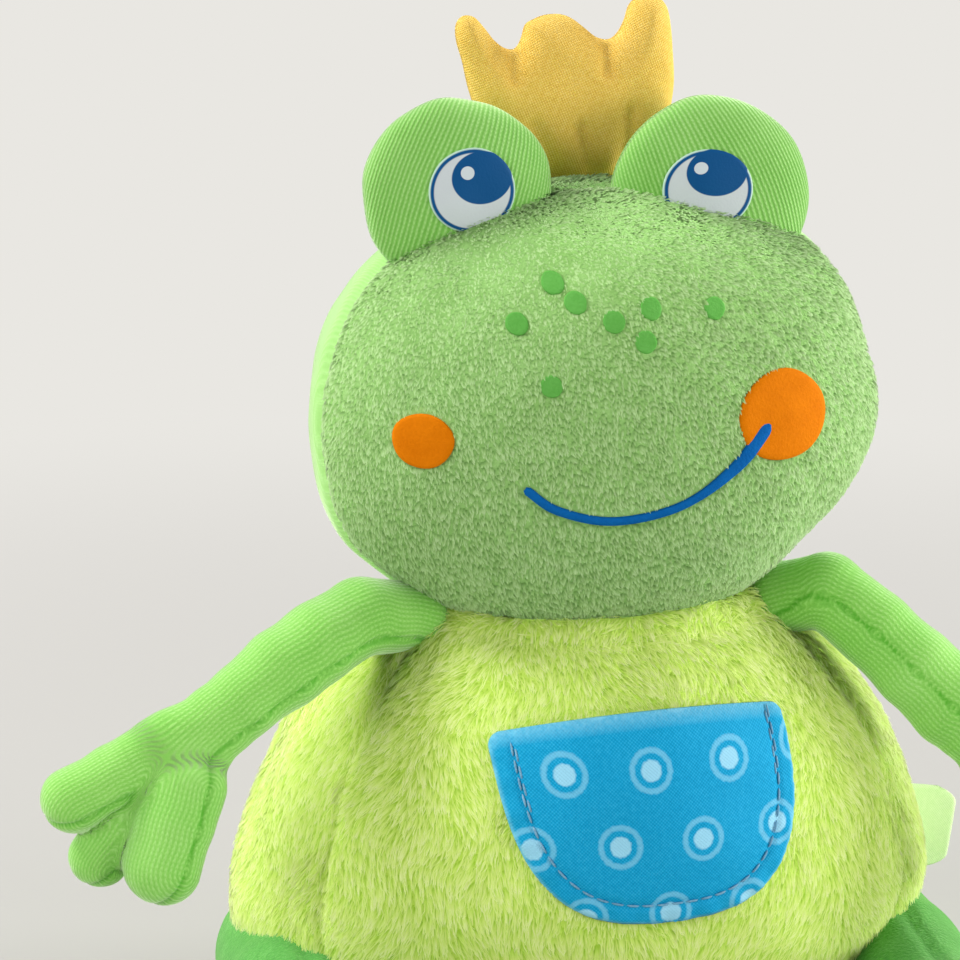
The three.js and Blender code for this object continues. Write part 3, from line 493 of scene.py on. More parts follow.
def felt_material(name, colour, shade, roughness=0.8):
    """Flocked print: even colour with fine grain and faint blotches."""
    material, tree, shader = cloth_material(name, roughness, 0.0, "#ffffff", 0.05)
    grain = blotches(tree, 0.7, 3.0)
    broad = blotches(tree, 5, 1.0)
    value = sums(tree, "MULTIPLY_ADD", broad, 0.5, sums(tree, "MULTIPLY", grain, 0.5))
    tree.links.new(ramp(tree, value, ((0.3, shade), (0.7, colour))), shader.inputs["Base Color"])
    bump(tree, shader, grain, 0.15)
    return material


def eye_print_material(name, iris, shine):
    """Printed eye, in shares of its radius: a blue rim, a blue oval, a pale highlight and pale grey between.
    It is smooth screen-printed ink, so it shines a little more than the flocked prints."""
    material, tree, shader = cloth_material(name, 0.5, 0.0, "#ffffff", 0.1)
    place = add(tree, "ShaderNodeUVMap", uv_map="cloth").outputs[0]

    def inside(middle, half):
        scaled = add(tree, "ShaderNodeMapping", {
            "Vector": place,
            "Location": (-middle[0] / half[0], -middle[1] / half[1], 0),
            "Scale": (1 / half[0], 1 / half[1], 1)})
        reach = add(tree, "ShaderNodeVectorMath", {0: scaled.outputs[0]}, operation="LENGTH").outputs["Value"]
        return add(tree, "ShaderNodeMapRange", {0: reach, 1: 0.985, 2: 1.015, 3: 1.0, 4: 0.0}).outputs[0]
    blue, pale = hex_colour("#0b4c80"), hex_colour("#c4cbce")
    colour = mix(tree, inside((0, 0), (0.97, 0.97)), hex_colour("#b9d6c4"), blue)
    colour = mix(tree, inside((0, 0), (0.885, 0.885)), colour, pale)
    colour = mix(tree, inside(iris[:2], iris[2:]), colour, blue)
    colour = mix(tree, inside(shine, (0.156, 0.156)), colour, hex_colour("#c8d0d4"))
    tree.links.new(colour, shader.inputs["Base Color"])
    bump(tree, shader, blotches(tree, 0.6, 2.0), 0.06)
    return material


def velour_material(name, dark, mid, pale):
    """Velour: a dense short nap that lies in drifts, with a soft bright rim."""
    material, tree, shader = cloth_material(name, 0.85, 0.5, "#c8f0b0")
    nap = blotches(tree, 0.8, 4.0)
    drift = blotches(tree, 9, 2.0)
    value = sums(tree, "MULTIPLY_ADD", drift, 0.55, sums(tree, "MULTIPLY", nap, 0.5))
    tree.links.new(ramp(tree, value, ((0.25, dark), (0.52, mid), (0.8, pale))), shader.inputs["Base Color"])
    bump(tree, shader, nap, 0.35)
    return material


# Long knitted plush: fine acrylic fibres cut loose and brushed, so they lie in drifts and let light through at their
# tips, where the edges of the toy glow.
# Its colours darken towards the roots as painted shade and pale towards the tips as painted light
lime_pile = pile_material(
    "lime_long_pile", ((0.0, "#aed643"), (0.3, "#d0eb6c"), (0.65, "#e2f38e"), (1.0, "#f2f9ba")), 0.7)
# The knitted ground of that plush, which shows only where the pile is thin
lime_ground = velour_material("lime_plush_ground", "#b0d848", "#c4e45c", "#d6ee78")
# Short terry pile: each loop stands in a small nub, painted pale on top and a greyer green down between the nubs, which
# is painted light and painted shade
head_pile = pile_material("green_looped_pile", ((0.0, "#78a556"), (0.45, "#a1ca7c"), (1.0, "#cde8ae")), 1.0)
head_ground = velour_material("green_looped_ground", "#7cab56", "#90bd6c", "#a2cc80")
# Fine single jersey, brushed on its face: nearly smooth, with a soft pale bloom towards its edges
head_jersey = knit_material("green_fine_jersey", "#8fca66", "#a2d67c", "#b6e494", 1.0, 1.2, 0.06, 0.3, 0.45, 0.3, 1.0)
# Ribbed jersey, stretched over the wadding: low ridges that run beside the seams, dotted with small loops
arm_jersey = knit_material("green_ribbed_jersey", "#5aae2e", "#8ccd5c", "#bbea92", 1.15, 1.3, 0.1, 0.3, 0.65, 0.0, 1.0)
# Coarser rib knit: upright chains of stitches, with painted shade darkening the furrows between them
eye_knit = knit_material("green_rib_knit", "#5a9e34", "#80bc56", "#aedd8a", 1.55, 1.5, 0.16, 0.5, 0.36, 0.5, 0.8)
# Cut velour: a short upright nap, dark seen end on and pale where it was stroked flat or turns away
leg_velour = velour_material("green_velour", "#43903a", "#559f44", "#70b85e")
# Plain-woven cotton: crossing threads 0.42 mm apart, a little coarser than such cloth has, so that they show
crown_cotton = woven_material("yellow_plain_cotton", "#cf9f30", "#e5be58", "#f6dc8c", 0.42, 0.12)
# The same cotton, dyed blue and printed, with its print rubbed pale along its folded edges
pocket_cotton = woven_material("blue_printed_cotton", "#0082b0", "#0c9aca", "#38b0da", 0.42, 0.08, paint=ring_print)
# Twisted polyester thread: a faint lustre, a shade darker in the twist
sewing_thread = felt_material("pale_blue_thread", "#86b4cc", "#5c90b0", 0.5)
# Woven satin tape: long floats of thread, so it is smoother and glossier than the cottons
label_satin = woven_material("pale_green_tape", "#bfe09a", "#d6efb4", "#e9f8cf", 0.35, 0.05, 0.4)
# Flock prints: cut fibres stood in glue, so they are matt and even, with a fine grain and hardly a shine
mouth_print = felt_material("blue_flock", "#0b62aa", "#08569a")
orange_felt = felt_material("orange_flock", "#dc7a04", "#ce6e00")
freckle_felt = felt_material("green_flock", "#66ad50", "#58a042")
eye_print = {side: eye_print_material(f"eye_print_{side}", p["iris"], p["shine"]) for side, p in EYE_PRINTS.items()}
# Wadding is a mat of white crimped fibres, and the pellets' bag plain undyed cotton
stuffing = felt_material("polyester_wadding", "#f3f1eb", "#dedad0", 0.95)
pellet_cotton = felt_material("undyed_cotton", "#e6dcc4", "#d2c6aa", 0.9)
for node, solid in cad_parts.items():
    if "stuffing" in node or "wad" in node or node == "pellet_bag":
        for slot in solid.material_slots:
            slot.material = pellet_cotton if node == "pellet_bag" else stuffing


# ---- Body ----

def body_point(bearing, rise):
    """The body's cloth before it is pressed and sewn. bearing is radians from the front towards +X. rise is
    -1 at the seat, 0 at the girth and 1 at the top. Above the girth the outline is an ellipse whose power is
    DOME_FULLNESS in place of 2, and below it a plain one cut flat at the seat."""
    seat_angle = math.asin(GIRTH / (GIRTH + SEAT_SINK))
    angle = np.where(rise < 0, rise * seat_angle, np.clip(rise, 0, 1) * math.pi / 2)
    above = angle >= 0
    power = 2 / DOME_FULLNESS
    cosine, sine = np.maximum(np.cos(angle), 0), np.abs(np.sin(angle))
    out = np.where(above, cosine ** power, cosine)
    height = np.where(above, GIRTH + DOME * sine ** power, GIRTH - (GIRTH + SEAT_SINK) * sine)
    return np.stack([HALF_WIDTH * out * np.sin(bearing), -HALF_DEPTH * out * np.cos(bearing), height], -1)


def seam_distance(points):
    """How far a point of the body lies from the nearest upright seam, in mm round the body."""
    bearing = np.degrees(np.arctan2(points[..., 0] / HALF_WIDTH, -points[..., 1] / HALF_DEPTH))
    reach = np.hypot(points[..., 0], points[..., 1])
    apart = np.min([np.abs(np.abs(bearing) - seam) for seam in BODY_SEAMS], axis=0)
    return np.radians(apart) * reach


def belly(bearing, rise):
    """The body's cloth as sewn and stuffed: drawn in at its seams, a little uneven, with fuller sides to its
    seat, and pressed hollow on top where the head sits. Each swelling is exp(-(distance / spread) ** 2)."""
    bearing, rise = np.broadcast_arrays(np.asarray(bearing, float), np.asarray(rise, float))
    p = body_point(bearing, rise)
    apart = seam_distance(p)
    draw = SEAM_DEPTH * np.exp(-(apart / SEAM_SPREAD) ** 2) * ease(0.98, 0.55, rise) * ease(-1.0, -0.6, rise)
    lumps = 0.9 * noise(p, 26, 3) + 0.5 * noise(p, 11, 4)
    out = unit(p - np.array([0, 0, GIRTH]))
    turned_away = np.degrees(np.arctan2(np.sin(bearing), np.cos(bearing)))
    for way, (stands, height, spread) in SIDE_BULGES.items():
        beside = np.exp(-((turned_away * way - 90) / SIDE_SPREAD) ** 2)
        lumps = lumps + stands * beside * np.exp(-((p[..., 2] - height) / spread) ** 2)
    drawn, height, spread = SIDE_WAIST
    beside = np.exp(-((turned_away + 90) / SIDE_SPREAD) ** 2)
    lumps = lumps - drawn * beside * np.exp(-((p[..., 2] - height) / spread) ** 2)
    p = p + out * (lumps * ease(-1.0, -0.7, rise) - draw)[..., None]
    q = (p - HEAD_CENTRE) / NECK_DISH
    inside = np.linalg.norm(q, axis=-1, keepdims=True)
    pressed = HEAD_CENTRE + unit(q) * NECK_DISH
    return np.where(inside < 1, pressed, p)


def in_pocket(points, margin):
    """True where a point of the belly lies under the pocket, grown by a margin."""
    tilt = math.radians(POCKET_TILT)
    x0, z0 = points[:, 0] - POCKET_ASIDE, points[:, 2] - POCKET_TOP
    x = x0 * math.cos(tilt) + z0 * math.sin(tilt)
    y = -x0 * math.sin(tilt) + z0 * math.cos(tilt)
    x = x + POCKET_SHEAR * y
    depth = np.clip(-y / (POCKET_DEPTH + margin), 0, 1)
    wide = (POCKET_HALF_WIDTH + margin) * (1 - depth ** POCKET_FULLNESS) ** (1 / POCKET_FULLNESS)
    crest = POCKET_RISE * np.clip(1 - (x / POCKET_HALF_WIDTH) ** 2, 0, 1)
    return (points[:, 1] < 0) & (np.abs(x) < wide) & (y < crest + margin) & (-y < POCKET_DEPTH + margin)


POCKET_HALF_WIDTH, POCKET_DEPTH, POCKET_TOP, POCKET_ASIDE, POCKET_TILT = 36.5, 44.5, 92.2, 1.6, 2.8
POCKET_FULLNESS, POCKET_GAPE = 2.9, 7.0
# How far its top edge rises in the middle, how far it leans over for each mm down, and its top corners' rounding
POCKET_RISE, POCKET_SHEAR, POCKET_CORNER = 4.6, 0.06, 3.0

# Each panel from one seam to the next, in degrees, and its pile: strands to a mm2 and their width. The back, which
# is seen less, has fewer and broader ones
PANELS = {
    "body_front_panel": (-FRONT_SEAM, FRONT_SEAM, 2.3, 0.4),
    "body_side_panel_right": (FRONT_SEAM, BACK_SEAM, 2.3, 0.4),
    "body_back_panel": (BACK_SEAM, 360 - BACK_SEAM, 1.4, 0.5),
    "body_side_panel_left": (360 - BACK_SEAM, 360 - FRONT_SEAM, 2.3, 0.4),
}
PANEL_ROWS, COLUMNS_PER_DEGREE, PILE_TOP = 110, 1.3, 0.97
for number, (panel, (start, end, density, width)) in enumerate(PANELS.items()):
    columns = int(round((end - start) * COLUMNS_PER_DEGREE)) + 1
    bearings = np.radians(np.linspace(start, end, columns))
    rises = np.linspace(BASE_SEAM, 1.0, PANEL_ROWS)
    points = belly(bearings[None, :], rises[:, None])
    cloth = np.stack([np.broadcast_to(bearings * HALF_WIDTH, points.shape[:2]), points[..., 2]], -1)
    cover = make(panel + "_cover", points, grid_faces(PANEL_ROWS, columns), lime_ground, cloth)
    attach(cover, "body")
    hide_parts(panel)

    u, v = scatter(belly, (math.radians(start), BASE_SEAM), (math.radians(end), PILE_TOP), density, 40 + number)
    roots, normals, _, _ = surface_frame(belly, u, v)
    # The pile is brushed down, in swirls, and lies up and outwards where the head presses on it
    downward = np.broadcast_to(np.array([0, 0, -1.0]), roots.shape)
    swirl = 0.9 * noise(roots, 20, 8) + 0.5 * noise(roots, 8, 9)
    sideways = np.cross(normals, downward)
    lie = downward + sideways * swirl[:, None]
    in_dish = ease(1.03, 1.0, np.linalg.norm((roots - HEAD_CENTRE) / NECK_DISH, axis=1))
    outward = unit((roots - NECK_PIVOT) * LEVEL)
    lie = lie * (1 - in_dish)[:, None] + (outward * 0.4 + np.array([0, 0, 1.0])) * in_dish[:, None]
    # It is shorter along the seams and round the pocket, and there is none under the pocket or the head
    length = PILE_LENGTH * (1 - 0.3 * np.exp(-(seam_distance(roots) / 3) ** 2)) * (1 + 0.35 * in_dish)
    length = np.where(in_pocket(roots, 2.5), 0.7 * length, length)
    keep = ~in_pocket(roots, -1.5) & (in_dish < 0.85)
    pile = strands(panel + "_pile", roots[keep], normals[keep], lie[keep], length[keep], width, PILE_RISE, PILE_DROOP,
                   lime_pile, clump=0.5, clump_size=LOCK_SIZE, seed=60 + number)
    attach(pile, "body")

# The base: down from the panels' lower seam to the seat, then flat to its middle
columns = 90
bearings = np.linspace(0, TAU, columns, endpoint=False)
shares = np.linspace(1, 0, 9)[:, None, None]
side = belly(bearings[None, :], np.linspace(BASE_SEAM, -1, 12)[:, None])
floor_part = side[-1][None] * np.array([1, 1, 0]) * shares[1:-1]
points = np.concatenate([side, floor_part]).reshape(-1, 3)
rows = len(points) // columns
points = np.vstack([points, [[0, 0, 0.0]]])
last = (rows - 1) * columns + np.arange(columns)
middle = np.full(columns // 2, rows * columns)
fan = np.stack([middle, np.roll(last, -2)[::2], np.roll(last, -1)[::2], last[::2]], -1)
faces = np.vstack([grid_faces(rows, columns, True)[:, ::-1], fan])
base = make("body_base_panel_cover", points, faces, lime_ground, points[:, :2])
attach(base, "body")
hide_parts("body_base_panel")


# ---- Head ----

def head_world(q):
    """From the head's own frame, which is rolled to one side, to the shared frame."""
    c, s = math.cos(HEAD_ROLL), math.sin(HEAD_ROLL)
    return np.stack([q[..., 0] * c - q[..., 2] * s, q[..., 1], q[..., 0] * s + q[..., 2] * c], -1) + HEAD_CENTRE


def head_point(turn, tip, growth=0.0):
    """The head's cloth in its own frame. turn runs round the outline from +X over the top, tip from 0 at
    the nose to pi at the back. It is an ellipsoid, made fuller or slimmer round its outline by the shares."""
    turn, tip = np.broadcast_arrays(np.asarray(turn, float), np.asarray(tip, float))
    places = np.linspace(0, TAU, len(HEAD_OUTLINE_SHARES) + 1)
    table = np.array(HEAD_OUTLINE_SHARES + HEAD_OUTLINE_SHARES[:1])
    fuller = 0
    for nudge in (0.0, 0.12, -0.12):
        fuller = fuller + np.interp(np.mod(turn + nudge, TAU), places, table)
    fuller = fuller / 3
    ring = np.sin(tip)
    half = HEAD_HALF + growth
    share = 1 + (fuller - 1) * ring ** 2
    return np.stack([half[0] * share * ring * np.cos(turn), -half[1] * np.cos(tip),
                     half[2] * share * ring * np.sin(turn)], -1)


def head_cloth(turn, tip, growth=0.0):
    """The head as sewn: drawn in along the seam that runs over it, with slight lumps of stuffing."""
    q = head_point(turn, tip, growth)
    seam = np.exp(-((q[..., 1] + HEAD_SEAM) / HEAD_SEAM_SPREAD) ** 2)
    lumps = 0.8 * noise(q, 24, 11) + 0.35 * noise(q, 9, 12)
    return q + unit(q) * (lumps - HEAD_SEAM_DEPTH * seam)[..., None]


def head_skin(turn, tip):
    """The head as sewn, in the shared frame."""
    return head_world(head_cloth(turn, tip))


def on_head(across, up, lift):
    """The place on the front of the head at a distance across and up, lifted off the cloth. The cloth's way
    round the head is longer than the flat one, so the place is found in a few tries."""
    across, up = np.asarray(across, float), np.asarray(up, float)
    turn = np.arctan2(up / HEAD_HALF[2], across / HEAD_HALF[0])
    reach = np.hypot(across / HEAD_HALF[0], up / HEAD_HALF[2])
    share = np.ones_like(turn)
    for _ in range(6):
        tip = np.arcsin(np.clip(reach / share, 0, 0.999))
        q = head_cloth(turn, tip)
        share = share * np.hypot(q[..., 0] / HEAD_HALF[0], q[..., 2] / HEAD_HALF[2]) / np.maximum(reach, 1e-6)
        share = np.where(reach < 1e-6, 1, share)
    return q + unit(q / HEAD_HALF ** 2) * lift


def make_capped(name, surface, turns, tips, material, flip, cloth_of, tuck=(0.04, 0.5)):
    """A cover closed at its pole and tucked in at its edge: rings of points from the pole outwards, then the
    edge drawn inwards by the shares of tuck to a middle point."""
    rings = surface(turns[None, :], tips[1:, None])
    pole = surface(np.array([0.0]), tips[:1])[:1]
    middle = rings[-1].mean(0)
    tucked = [rings[-1] + (middle - rings[-1]) * share for share in tuck]
    points = np.vstack([pole.reshape(1, 3), rings.reshape(-1, 3), np.array(tucked).reshape(-1, 3), middle[None]])
    count = len(turns)
    rows = len(tips) - 1 + len(tuck)
    quads = grid_faces(rows, count, True, 1)
    ring = 1 + np.arange(count)
    near = np.stack([np.zeros(count, int), np.roll(ring, -1), ring], -1)
    last = 1 + (rows - 1) * count + np.arange(count)
    far = np.stack([np.full(count, len(points) - 1), last, np.roll(last, -1)], -1)
    triangles = np.vstack([quads[:, [0, 1, 2]], quads[:, [0, 2, 3]], near, far])
    if flip:
        triangles = triangles[:, ::-1]
    return make(name, points, triangles, material, cloth_of(points))


seam_tip = math.acos(HEAD_SEAM / HEAD_HALF[1])
NOSE_TIP = 0.035
turns = np.linspace(0, TAU, 260, endpoint=False)


def rolled_flat(points, centre, pole):
    """Cloth coordinates of a round cover, rolled flat from its pole: the way from the pole, measured round the
    curve, in the direction in which a point lies from it."""
    off = points - centre
    beside = off - np.outer(off @ pole, pole)
    around = np.linalg.norm(beside, axis=1)
    run = np.linalg.norm(off, axis=1) * np.arctan2(around, off @ pole)
    return (beside / np.maximum(around, 1e-9)[:, None] * run[:, None])[:, [0, 2]]


backwards = np.array([0, 1.0, 0])
front = make_capped("head_front_cover_cloth", head_skin, turns, np.linspace(0, seam_tip, 90), head_ground,
                    True, lambda points: rolled_flat(points, HEAD_CENTRE, -backwards))
back = make_capped("head_back_cover_cloth", head_skin, turns, np.linspace(math.pi, seam_tip, 110), head_jersey,
                   False, lambda points: rolled_flat(points, HEAD_CENTRE, backwards))
for cover, node, slot in ((front, "head_front_cover", "head_pile"), (back, "head_back_cover", "head_jersey")):
    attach(cover, "head")
    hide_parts(node)


def eye_middle(side):
    """The middle of an eye bump, in the head's own frame: on the head's seam, raised by a share of its radius."""
    eye = EYES[side]
    across = eye["across"] * HEAD_HALF[0]
    top = HEAD_HALF[2] * math.sqrt(1 - (across / HEAD_HALF[0]) ** 2 - (HEAD_SEAM / HEAD_HALF[1]) ** 2)
    return np.array([across, -HEAD_SEAM, top + eye["rise"] * eye["radius"]])


def near_mouth(q):
    """How far places on the head lie from the mouth line, across and up, in mm."""
    line = spline(MOUTH_LINE, 60)
    return np.min(np.hypot(q[:, None, 0] - line[None, :, 0], q[:, None, 2] - line[None, :, 1]), axis=1)


# Strands to a mm2
LOOPS_DENSITY = 2.3


def head_roots(low, high, seed):
    """Roots of pile on the head and the cloth's outward directions there, and the roots in the head's own frame."""
    u, v = scatter(head_skin, low, high, LOOPS_DENSITY, seed)
    roots, normals, _, _ = surface_frame(head_skin, u, v)
    normals = normals * np.sign(np.sum(normals * (roots - HEAD_CENTRE), 1, keepdims=True))
    return roots, normals, head_cloth(u, v)


face = head_roots((0, NOSE_TIP), (TAU, seam_tip - 0.02), 21)
# Between the eye bumps the pile goes on behind the seam as far as the crown
crest = head_roots((math.pi / 2 - 0.3, seam_tip - 0.02), (math.pi / 2 + 0.22, seam_tip + 0.2), 24)
# The middle of the nose, where the rings of the surface close up, gets its own few strands
few = np.random.default_rng(23).uniform(-1, 1, (60, 2)) * np.sin(NOSE_TIP) * HEAD_HALF[0]
few = few[np.hypot(few[:, 0], few[:, 1]) < np.sin(NOSE_TIP) * HEAD_HALF[2]]
few_q = on_head(few[:, 0], few[:, 1], 0.0)
nose = head_world(few_q), head_world(unit(few_q / HEAD_HALF ** 2)) - HEAD_CENTRE, few_q
roots, normals, q = [np.vstack(parts) for parts in zip(face, crest, nose)]
# No pile grows through the mouth, the cheeks and the freckles, nor so close above them that it hangs over them
clear = near_mouth(q - np.array([0, 0, 0.8])) > 1.9
for across, up, wide, high in CHEEKS.values():
    clear &= np.hypot((q[:, 0] - across) / (wide + 0.3), (q[:, 2] - up - 0.7) / (high + 0.6)) > 1
for across, up in FRECKLE_SHARES:
    clear &= np.hypot(q[:, 0] - across * HEAD_HALF[0], q[:, 2] - up * HEAD_HALF[2] - 0.5) > FRECKLE_RADIUS + 0.2
roots, normals = roots[clear], normals[clear]
lie = np.array([0.25, 0, -1.0]) + 0.4 * np.stack([noise(roots, 5, 31), 0 * roots[:, 0], noise(roots, 5, 32)], 1)
pile = strands("head_front_cover_pile", roots, normals, lie, 1.8, 0.72, math.radians(54), 0.3, head_pile,
               clump=0.5, clump_size=1.4, steps=2, seed=22)
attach(pile, "head")


def patch(name, middle, half, lift, material, node):
    """A round print that follows the head: rings of points, with its rim turned down to the cloth."""
    around = 48
    turns = np.linspace(0, TAU, around, endpoint=False)
    reach = np.concatenate([np.linspace(0, 1, 9)[1:], [1.02, 1.02]])
    lifts = np.concatenate([np.full(7, lift), [lift - 0.1, lift - 0.35, -0.6]])
    wobble = 1 + 0.012 * np.sin(3 * turns + middle[0]) + 0.01 * np.sin(5 * turns + middle[1])
    across = middle[0] + half[0] * reach[:, None] * np.cos(turns) * wobble
    up = middle[1] + half[1] * reach[:, None] * np.sin(turns) * wobble
    rings = head_world(on_head(across, up, lifts[:, None, None] * np.ones(across.shape)[..., None]))
    pole = head_world(on_head(np.array([middle[0]]), np.array([middle[1]]), lift))
    piece = make(name, np.vstack([pole, rings.reshape(-1, 3)]), disc_faces(len(reach), around), material)
    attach(piece, "head")
    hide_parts(node)


for size, (across, up, *half) in CHEEKS.items():
    patch(f"cheek_{size}_print", (across, up), half, CHEEK_LIFT, orange_felt, f"cheek_{size}")
for number, (across, up) in enumerate(FRECKLE_SHARES, 1):
    patch(f"freckle_{number}_print", (across * HEAD_HALF[0], up * HEAD_HALF[2]), (FRECKLE_RADIUS, FRECKLE_RADIUS),
          FRECKLE_LIFT, freckle_felt, f"freckle_{number}")

# The mouth: a raised line that grows wider towards its upper end, and is round there
MOUTH_STEPS, MOUTH_HALF_WIDTH, MOUTH_WIDENS = 80, 0.95, 0.75
line = spline(MOUTH_LINE, MOUTH_STEPS)
t = np.linspace(0, 1, MOUTH_STEPS)
half = MOUTH_HALF_WIDTH + MOUTH_WIDENS * ease(0.6, 0.97, t)
upper_end = np.sqrt(np.clip(1 - np.clip((t - 0.965) / 0.036, 0, 1) ** 2, 0, 1))
half = half * upper_end * np.sqrt(np.clip(t / 0.012, 0.2, 1))
tangent = unit(np.gradient(line, axis=0))
sideways = np.stack([-tangent[:, 1], tangent[:, 0]], 1)
# Its cut through: places across, in shares of its half-width, and heights over the cloth in mm
section = np.array([[-1, 0.1], [-1, 0.75], [-0.85, 0.95], [0, 1.0], [0.85, 0.95], [1, 0.75], [1, 0.1]])
across = line[:, None, 0] + sideways[:, None, 0] * half[:, None] * section[None, :, 0]
up = line[:, None, 1] + sideways[:, None, 1] * half[:, None] * section[None, :, 0]
points = head_world(on_head(across, up, np.broadcast_to(section[None, :, 1], across.shape)[..., None]))
mouth = make("mouth_print", points, grid_faces(MOUTH_STEPS, len(section))[:, ::-1], mouth_print)
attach(mouth, "head")
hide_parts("mouth")


def eye_pad(side, facing):
    """Half of an eye bump: a flat round pad, fuller than a lens, drawn in at its edge seam. facing is -1 for
    the front half and 1 for the back half."""
    eye = EYES[side]
    middle = eye_middle(side)

    def surface(turn, tip):
        turn, tip = np.broadcast_arrays(np.asarray(turn, float), np.asarray(tip, float))
        out = eye["radius"] * np.sin(tip) ** EYE_OUT_POWER
        depth = EYE_THICKNESS * np.cos(tip) ** EYE_DEPTH_POWER
        q = np.stack([out * np.cos(turn), facing * depth, out * np.sin(turn)], -1)
        q = q + unit(q) * (0.5 * noise(q + middle, 9, 14))[..., None]
        return head_world(q + middle)
    return surface


for side, eye in EYES.items():
    lean = math.radians(eye["lean"])
    upright = np.array([[math.cos(lean), -math.sin(lean)], [math.sin(lean), math.cos(lean)]])
    turns = np.linspace(0, TAU, 120, endpoint=False)
    for facing, half_name in ((-1, "front"), (1, "back")):
        node = f"eye_{half_name}_{side}"
        centre = head_world(eye_middle(side))
        pad = make_capped(
            node + "_cover", eye_pad(side, facing), turns, np.linspace(0, math.pi / 2, 36), eye_knit, facing < 0,
            lambda points: rolled_flat(points, centre, facing * backwards) @ upright, tuck=(0.03, 0.5))
        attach(pad, "head")
        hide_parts(node)

    # Its printed eye: rings of points on the front pad, lifted off it, with the rim turned down
    printed = EYE_PRINTS[side]
    shape = eye_pad(side, -1)
    around = 64
    turns = np.linspace(0, TAU, around, endpoint=False)
    reach = np.concatenate([np.linspace(0, 1, 13)[1:], [1.01]])
    flat_x, flat_z = reach[:, None] * np.cos(turns), reach[:, None] * np.sin(turns)
    x = printed["aside"] * eye["radius"] + printed["radius"] * flat_x
    z = printed["up"] * eye["radius"] + printed["radius"] * printed["tall"] * flat_z
    tip = np.arcsin(np.clip(np.hypot(x, z) / eye["radius"], 0, 0.995) ** (1 / EYE_OUT_POWER))
    rings = shape(np.arctan2(z, x), tip)
    middle = shape(np.array([math.atan2(printed["up"], printed["aside"])]),
                   np.array([math.asin(math.hypot(printed["up"], printed["aside"]) ** (1 / EYE_OUT_POWER))]))
    lifts = np.concatenate([np.full(12, EYE_PRINT_LIFT), [-0.3]])[:, None, None]
    points = np.vstack([middle - EYE_PRINT_LIFT * backwards, (rings - lifts * backwards).reshape(-1, 3)])
    cloth = np.vstack([[[0, 0]], np.stack([flat_x.ravel(), flat_z.ravel()], 1)])
    piece = make(f"eye_print_{side}_cloth", points, disc_faces(len(reach), around), eye_print[side], cloth)
    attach(piece, "head")
    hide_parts(f"eye_print_{side}")


# ---- Neck ----

def neck_rim(bearing):
    """Where the belly's cloth turns in under the head, for each bearing: the highest place that isn't pressed."""
    rises = np.linspace(0.2, 1, 600)
    p = belly(bearing[:, None], rises[None, :])
    inside = np.linalg.norm((p - HEAD_CENTRE) / NECK_DISH, axis=-1) < 1.0005
    first = np.argmax(inside, axis=1)
    return p[np.arange(len(bearing)), first]


def neck_collar(bearing, share):
    """A soft roll of plush between the belly's rim, at share 0, and the head, at share 1, straight but for a
    bulge of sin(pi share) ** 0.6."""
    bearing, share = np.broadcast_arrays(np.asarray(bearing, float), np.asarray(share, float))
    low = np.stack([np.interp(bearing, COLLAR_BEARINGS, COLLAR_RIM[:, k]) for k in range(3)], -1)
    high = np.stack([np.interp(bearing, COLLAR_BEARINGS, COLLAR_TOP[:, k]) for k in range(3)], -1)
    out = unit((low - NECK_PIVOT) * LEVEL)
    bulge = COLLAR_BULGE * np.sin(np.clip(share, 0, 1) * math.pi) ** 0.6
    return low + (high - low) * share[..., None] + (out * 0.2 + np.array([0, 0, 1.0])) * bulge[..., None]


COLLAR_BULGE = 1.2
COLLAR_BEARINGS = np.linspace(-math.pi, math.pi, 361)
COLLAR_RIM = neck_rim(COLLAR_BEARINGS)
# The roll's upper edge: each place of the rim, lowered a little and drawn on to the head from the head's middle
c, s = math.cos(-HEAD_ROLL), math.sin(-HEAD_ROLL)
local = COLLAR_RIM + np.array([0, 0, -1.5]) - HEAD_CENTRE
local = np.stack([local[:, 0] * c - local[:, 2] * s, local[:, 1], local[:, 0] * s + local[:, 2] * c], 1)
local = local / HEAD_HALF
turn = np.arctan2(local[:, 2], local[:, 0])
tip = np.arccos(np.clip(-local[:, 1] / np.linalg.norm(local, axis=1), -1, 1))
COLLAR_TOP = head_world(head_cloth(turn, tip, 0.6))
# Its lower edge sinks into the belly's pile
COLLAR_RIM = COLLAR_RIM + 1.4 * unit((COLLAR_RIM - NECK_PIVOT) * LEVEL) - np.array([0, 0, 1.8])
rows, columns = 12, 260
bearings = np.linspace(-math.pi, math.pi, columns, endpoint=False)
points = neck_collar(bearings[None, :], np.linspace(0, 1, rows)[:, None])
collar = make("neck_collar", points, grid_faces(rows, columns, True), lime_ground, np.zeros((rows * columns, 2)))
u, v = scatter(neck_collar, (-math.pi, 0.0), (math.pi, PILE_TOP), 2.6, 91)
roots, normals, _, _ = surface_frame(neck_collar, u, v)
outward = unit((roots - NECK_PIVOT) * LEVEL) + np.array([0, 0, 0.5])
normals = normals * np.sign(np.sum(normals * outward, 1, keepdims=True))
lie = np.array([0, 0, -1.0]) + 0.8 * np.stack([noise(roots, 6, seed) for seed in (92, 93, 94)], 1)
pile = strands("neck_collar_pile", roots, normals, lie, 0.95 * PILE_LENGTH, 0.4, math.radians(42), PILE_DROOP,
               lime_pile, clump=0.5, clump_size=LOCK_SIZE, seed=95)
for piece in (collar, pile):
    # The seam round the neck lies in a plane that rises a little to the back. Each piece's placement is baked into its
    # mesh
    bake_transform(piece)
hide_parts("neck_wad")


# ---- Crown ----

CROWN_HALF_WIDTH, CROWN_HEIGHT, CROWN_HALF_THICKNESS, CROWN_EDGE = 26.5, 40.5, 7.0, 9.5
CROWN_PLACE, CROWN_LEAN, CROWN_RISE = (2.8, 10.0), math.radians(5.4), 3.9
